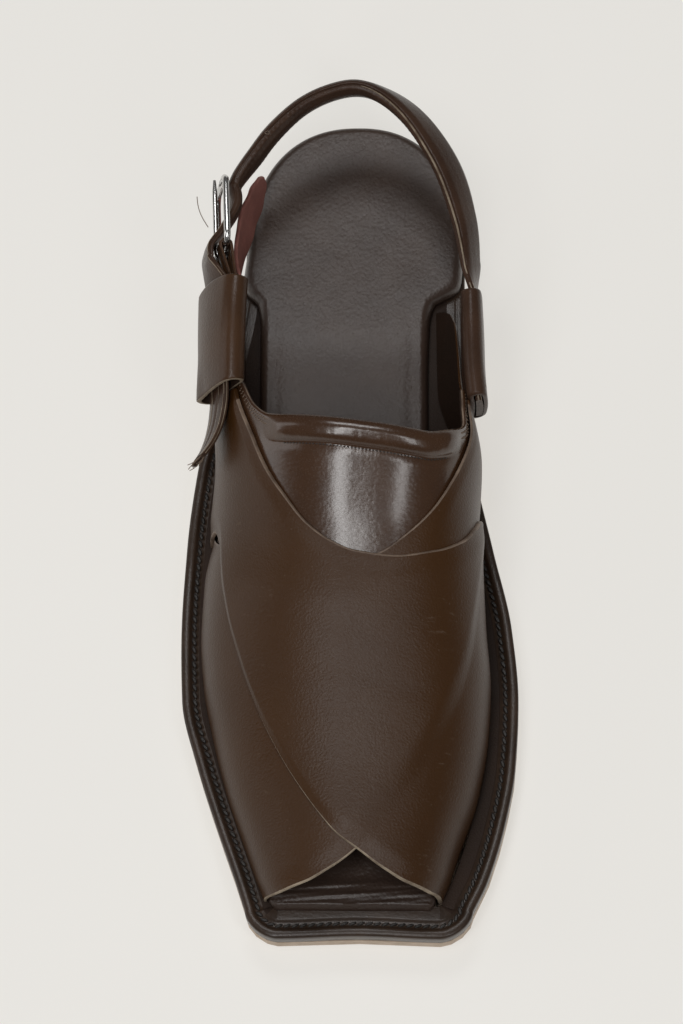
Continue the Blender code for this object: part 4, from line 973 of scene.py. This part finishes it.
# Sole outline as a closed ring, dense, starting at the heel's centre
def halfOutline(edge, side, ends, sideSteps=100, heelSteps=40, cornerSteps=20, lineSteps=16):
    points = []
    heel = shoe["heelRound"]
    widest = edge(heel, side)
    power = 2.0 / 2.3
    for k in range(heelSteps):
        angle = math.pi / 2.0 * k / heelSteps
        share = heel * (1.0 - math.cos(angle) ** power)
        points.append((share, 0.010 + (widest - 0.010) * math.sin(angle) ** power))
    for k in range(sideSteps + 1):
        share = heel + (ends["corner"] - heel) * k / sideSteps
        points.append((share, edge(share, side)))
    inner = ends[side]
    outer = edge(ends["corner"], side)
    power = 2.0 / ends["power"]
    for k in range(1, cornerSteps + 1):
        angle = math.pi / 2.0 * k / cornerSteps
        share = ends["corner"] + (ends["front"] - ends["corner"]) * math.sin(angle) ** power
        points.append((share, inner + (outer - inner) * max(math.cos(angle), 0.0) ** power))
    middle = (ends["lateral"] + ends["medial"]) / 2.0
    for k in range(1, lineSteps + 1):
        u = k / lineSteps
        dent = ends["hollow"] / shoe["length"] * math.sin(math.pi / 2.0 * u) ** 2
        points.append((ends["front"] - dent, inner + (middle - inner) * u))
    return points


def closedOutline(edge, ends):
    lateral = halfOutline(edge, "lateral", ends)
    medial = halfOutline(edge, "medial", ends)
    shares = np.array(lateral + medial[-2:0:-1], float)
    return np.stack([acrossX(shares[:, 1]), alongY(shares[:, 0])], -1)


def insetRing(ring, distance):
    ahead = np.roll(ring, -1, 0) - np.roll(ring, 1, 0)
    ahead = ahead / np.maximum(np.linalg.norm(ahead, axis=1, keepdims=True), 1e-9)
    return ring + np.stack([-ahead[:, 1], ahead[:, 0]], -1) * distance


soleEnds = {"front": 1.0, "corner": 0.966, "power": 1.7, "lateral": -0.195, "medial": 0.275, "hollow": 0.0009}
bedEnds = {"front": 0.968, "corner": 0.945, "power": 2.0, "lateral": -0.185, "medial": 0.240, "hollow": 0.0}


def soleEdge(share, side):
    return float(curveAt(soleTab, side, share))


def bedEdge(share, side):
    sign = -1.0 if side == "lateral" else 1.0
    drawn = sign * float(curveAt(bedTab, side, share))
    foot = sign * float(curveAt(lastTab, side, share)) - 0.0012 / shoe["breadth"]
    sole = sign * soleEdge(share, side) - shoe["gap"] / shoe["breadth"]
    return sign * min(drawn, sole if share < 0.300 else foot)


soleRing = closedOutline(soleEdge, soleEnds)
bedRing = closedOutline(bedEdge, bedEnds)


# Welt with its rim, the groove that the thread lies in, and the platform inside it, with painted shade along
# the sides: there the platform takes the dark lining leather
weltCut = {"rim": 0.0029, "groove": 0.0026, "depth": 0.0011, "stitch": 0.0026, "thread": 0.0013, "slant": 0.42,
           "platform": 0.0050, "waist": 0.0075, "shade": 0.985, "stitchFrom": 0.345}


def grooveDepth(share):
    return weltCut["depth"] * smoothStep(0.300, 0.370, share)


def makeWelt():
    share = shareOf(soleRing[:, 1])
    base = weltBottom(share)
    top = weltTop(share)
    depth = grooveDepth(share)
    rim = weltCut["rim"]
    inside = rim + weltCut["groove"]
    waist = weltCut["waist"] * smoothStep(0.18, 0.24, share) * (1.0 - smoothStep(0.50, 0.60, share))
    platform = inside + weltCut["platform"] + waist
    levels = [
        (0.0006, base), (0.0002, base + 0.0002), (0.0, base + 0.0006), (0.0, top - 0.0009),
        (0.0001, top - 0.0005), (0.0004, top - 0.00015), (0.0009, top), (0.0016, top + 0.00005),
        (rim - 0.0004, top), (rim, top - 0.00012 - 0.15 * depth), (rim + 0.0003, top - 0.75 * depth),
        (rim + 0.0007, top - depth), (rim + 0.0013, top - 1.05 * depth), (inside - 0.0006, top - depth),
        (inside, top - 0.8 * depth), (inside + 0.0004, top - 0.4 * depth),
        (inside + 0.0009, top - 0.3 * depth), (platform, top - 0.3 * depth), (platform, base + 0.0002)]
    rings = []
    for distance, height in levels:
        spot = insetRing(soleRing, np.broadcast_to(distance, len(share))[:, None])
        rings.append(np.concatenate([spot, height[:, None]], 1))
    rows = len(rings)
    columns = len(share)
    faces = gridFaces(rows, columns, 0, True).tolist() + closingFaces(rows, columns)
    order = np.arange(len(faces))
    # Painted shade: the platform rows beside the upper, all round but the toe's tip, take the dark lining
    # leather
    dark = (order >= (rows - 4) * columns) & (share[order % columns] < weltCut["shade"])
    made = makePiece("weltRim", rings, faces, [weltLeather, liningAndShadeLeather], dark.astype(int), 60.0, True)
    lane = insetRing(soleRing, rim + weltCut["groove"] * 0.5)
    arc = runOf(lane)
    marks = np.arange(0.0, arc[-1], weltCut["stitch"])

    def laneAt(run):
        return np.stack([np.interp(run, arc, lane[:, 0]), np.interp(run, arc, lane[:, 1]), 0.0 * run], -1)

    places = laneAt(marks)
    share = shareOf(places[:, 1])
    ahead = laneAt(marks + 0.001) - places
    side = np.stack([-ahead[:, 1], ahead[:, 0], 0.0 * marks], -1)
    places[:, 2] = weltTop(share) - grooveDepth(share) + 0.00040
    keep = share > weltCut["stitchFrom"]
    slanted = unit(ahead) + weltCut["slant"] * unit(side)
    upward = np.tile([0.0, 0.0, 1.0], (keep.sum(), 1))
    size = (weltCut["stitch"] * 1.10, weltCut["thread"], weltCut["thread"])
    return made, stitchesPiece("weltStitches", places[keep], slanted[keep], upward, size, [darkThread])


weltRim, weltStitches = makeWelt()
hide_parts("welt")
print("welt made")


# Footbed: rolled rim, shallow valley inside it, heel cup and wrinkles at the toe bar
bed = {"heel": 0.0058, "toe": 0.0030, "round": 0.0030, "valley": 0.00028, "valleyAt": 0.0050,
       "valleyWidth": 0.0022, "cup": 0.0007, "cupAt": 0.13, "wrinkle": 0.00026, "bar": 0.0009,
       "ripple": 0.00003, "toeFrom": 0.905, "crossSteps": 70, "heelSteps": 50, "bodySteps": 120,
       "toeSteps": 50, "ringStep": 0.00025}


def bedTop(x, y, edge):
    share = shareOf(y)
    thick = bed["heel"] + (bed["toe"] - bed["heel"]) * smoothStep(0.42, 0.62, share)
    bend = np.sqrt(np.maximum(1.0 - (1.0 - np.clip(edge / bed["round"], 0.0, 1.0)) ** 2, 0.0))
    height = thick * (0.30 + 0.70 * bend)
    waist = smoothStep(0.22, 0.36, share) * (1.0 - smoothStep(0.46, 0.52, share))
    height = height - bed["valley"] * waist * np.exp(-((edge - bed["valleyAt"]) / bed["valleyWidth"]) ** 2)
    cup = np.exp(-((share - bed["cupAt"]) / 0.10) ** 2) * smoothStep(0.0, 0.020, edge)
    height = height - bed["cup"] * cup
    toe = smoothStep(0.925, 0.945, share) * (1.0 - smoothStep(0.962, 0.966, share))
    run = share * shoe["length"]
    lines = 0.7 * np.sin(2.0 * math.pi * run / 0.0037 + 0.9 * np.sin(x * 130.0) + 0.6)
    lines = lines + 0.5 * np.sin(x * 210.0 + run * 900.0) * np.sin(2.0 * math.pi * run / 0.0024 + x * 90.0)
    height = height + bed["wrinkle"] * toe * lines + bed["bar"] * toe
    ripple = bed["ripple"] * np.sin(x * 420.0 + 3.0 * np.sin(y * 130.0)) * np.sin(y * 380.0)
    return weltTop(share) + shoe["gap"] + height + ripple * smoothStep(0.002, 0.01, edge)


def makeBed():
    even = np.linspace(0.0, 1.0, bed["crossSteps"])
    across = 0.5 - 0.5 * np.cos(math.pi * even)
    across = 0.5 * across + 0.5 * even
    heel = shoe["heelRound"] * (1.0 - np.cos(math.pi / 2.0 * np.linspace(0.0, 1.0, bed["heelSteps"])[:-1]))
    body = np.linspace(shoe["heelRound"], bed["toeFrom"], bed["bodySteps"])[:-1]
    toe = np.linspace(bed["toeFrom"], bedEnds["front"] - 0.0005, bed["toeSteps"])
    shares = np.concatenate([heel, body, toe])
    shares[0] = 0.0006
    half = len(bedRing) // 2
    lateral = bedRing[:half + 1]
    medial = np.concatenate([bedRing[half:], bedRing[:1]])[::-1]
    left = np.interp(shares, shareOf(lateral[:, 1]), lateral[:, 0])
    right = np.interp(shares, shareOf(medial[:, 1]), medial[:, 0])
    x = left[:, None] + (right - left)[:, None] * across
    y = np.broadcast_to(alongY(shares)[:, None], x.shape)
    flat = np.stack([x.ravel(), y.ravel()], -1)
    closing = np.concatenate([bedRing, bedRing[:1]])
    arc = runOf(closing)
    fine = np.linspace(0.0, arc[-1], int(arc[-1] / bed["ringStep"]))
    ring = np.stack([np.interp(fine, arc, closing[:, 0]), np.interp(fine, arc, closing[:, 1])], -1)
    edge = np.concatenate([np.sqrt(((flat[low:low + 2000, None] - ring[None]) ** 2).sum(-1).min(1))
                           for low in range(0, len(flat), 2000)])
    edge = np.where(edge < 0.00018, 0.0, edge).reshape(x.shape)
    outer = np.stack([x, y, bedTop(x, y, edge)], -1)
    inner = np.stack([x, y, weltTop(shareOf(y)) + shoe["gap"]], -1)
    return shellPiece("bedTop", outer, inner, [bedLeather, bedLeather, liningAndShadeLeather], sharp=60.0)


bedPiece = makeBed()
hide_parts("footbed")
print("footbed made")


# Solids that keep their shape take these finishes
for node, mat in (("outsole", tanLeather), ("heel_block", stackLeather), ("heel_top_lift", heelRubber),
                  ("buckle_chape", loopLeather)):
    bpy.data.objects[node].material_slots[0].material = mat


# Camera of the photograph, turned to the shoe's middle without any shift
photo = {"focal": 2912.0, "x": 341.5, "y": 512.0, "eye": (0.058, -0.4823, 1.3114), "tilt": 20.5,
         "centre": (213.0, 505.0), "closer": 1.45, "tall": 1024.0, "sensor": 36.0}


def atPhoto(px, py, height):
    sine = math.sin(math.radians(photo["tilt"]))
    cosine = math.cos(math.radians(photo["tilt"]))
    dz = height - photo["eye"][2]
    k = (photo["y"] - py) / photo["focal"]
    dy = dz * (sine + cosine * k) / (sine * k - cosine)
    depth = sine * dy - cosine * dz
    dx = (px - photo["x"]) * depth / photo["focal"]
    return np.array([photo["eye"][0] + dx, photo["eye"][1] + dy, height])


def makeCamera():
    data = bpy.data.cameras.new("camera")
    camera = linked("camera", data)
    camera.location = photo["eye"]
    before = Euler((math.radians(photo["tilt"]), 0.0, 0.0)).to_quaternion()
    ray = Vector(((photo["centre"][0] - photo["x"]) / photo["focal"],
                  (photo["y"] - photo["centre"][1]) / photo["focal"], -1.0)).normalized()
    camera.rotation_mode = "QUATERNION"
    camera.rotation_quaternion = before @ Vector((0.0, 0.0, -1.0)).rotation_difference(ray)
    data.sensor_width = photo["sensor"]
    data.lens = photo["focal"] * photo["closer"] / photo["tall"] * photo["sensor"]
    data.clip_start = 0.05
    bpy.context.scene.camera = camera


makeCamera()


# Frayed threads at the tail's end, a long one at the buckle and a small knot on the strap's top edge
fray = {"count": 11, "thread": 0.00014, "long": (113.0, 287.0, 0.0655), "knot": (154.0, 241.0, 0.0735),
        "knotRadius": 0.0007}


def makeThreads():
    start = atPhoto(*fray["long"])
    paths = [[start + np.array([0.004 * u - 0.0010 * math.sin(3.0 * u), -0.0105 * u, -0.0008 * u * u])
              for u in np.linspace(0.0, 1.0, 12)]]
    end = strapSkin[-1]
    middle = end.mean(0)
    away = unit(middle - strapSkin[-8].mean(0))
    for k in range(fray["count"]):
        root = end[int(chance.integers(0, len(end)))] * 0.75 + middle * 0.25
        bend = chance.normal(0.0, 0.0006, 3)
        reach = 0.0014 + 0.0016 * chance.random()
        paths.append([root + away * reach * u + bend * u * u for u in np.linspace(-0.3, 1.0, 6)])
    top = strapSkin[:, 0]
    knotAt = top[int(np.argmin(np.abs(top - atPhoto(*fray["knot"])).sum(1)))]
    paths.append([knotAt + fray["knotRadius"] * np.array([math.cos(a), 0.8 * math.sin(a),
                                                          0.35 * math.sin(2.0 * a) + 0.5])
                  for a in np.linspace(0.0, 4.0 * math.pi, 30)])
    return tubesPiece("looseThreads", paths, fray["thread"], [brownThread])


makeThreads()
print("threads made")


# Floor, world and lights
light = {"world": 0.11, "sky": (1.0, 0.99, 0.97, 1.0), "floor": (0.30, 0.295, 0.285, 1.0), "floorHalf": 3.0,
         "glow": (0.80, 0.78, 0.738, 1.0), "glowStrength": 0.74, "aim": (0.0, -0.01, 0.04)}
softBoxes = (
    ("leftStrip", (-0.18, -0.40, 0.93), (0.15, 0.66), 3.2),
    ("rightStrip", (0.37, -0.46, 0.88), (0.13, 0.5), 1.35),
    ("leftSoft", (-1.15, 0.05, 0.30), (0.4, 1.3), 2.4),
    ("rearSoft", (-0.05, 0.38, 0.92), (0.34, 0.26), 1.9))


def makeFloor():
    reach = light["floorHalf"]
    mesh = bpy.data.meshes.new("floor")
    corners = [(-reach, -reach, 0.0), (reach, -reach, 0.0), (reach, reach, 0.0), (-reach, reach, 0.0)]
    mesh.from_pydata(corners, [], [(0, 1, 2, 3)])
    mat = bpy.data.materials.new("paleFloor")
    mat.use_nodes = True
    setInputs(mat.node_tree.nodes["Principled BSDF"], Base_Color=light["floor"], Roughness=0.9,
              Specular_IOR_Level=0.1, Emission_Color=light["glow"], Emission_Strength=light["glowStrength"])
    mesh.materials.append(mat)
    linked("floor", mesh)


def softBox(name, place, size, power):
    data = bpy.data.lights.new(name, "AREA")
    data.shape = "RECTANGLE"
    data.size, data.size_y = size
    data.energy = power
    lamp = linked(name, data)
    lamp.location = place
    lamp.rotation_euler = (Vector(light["aim"]) - Vector(place)).to_track_quat("-Z", "Y").to_euler()
    lamp.visible_camera = False


makeFloor()
world = bpy.data.worlds.new("world")
world.use_nodes = True
setInputs(world.node_tree.nodes["Background"], Color=light["sky"], Strength=light["world"])
bpy.context.scene.world = world
for name, place, size, power in softBoxes:
    softBox(name, place, size, power)
bpy.context.scene.view_settings.view_transform = "Standard"
print("lights made")
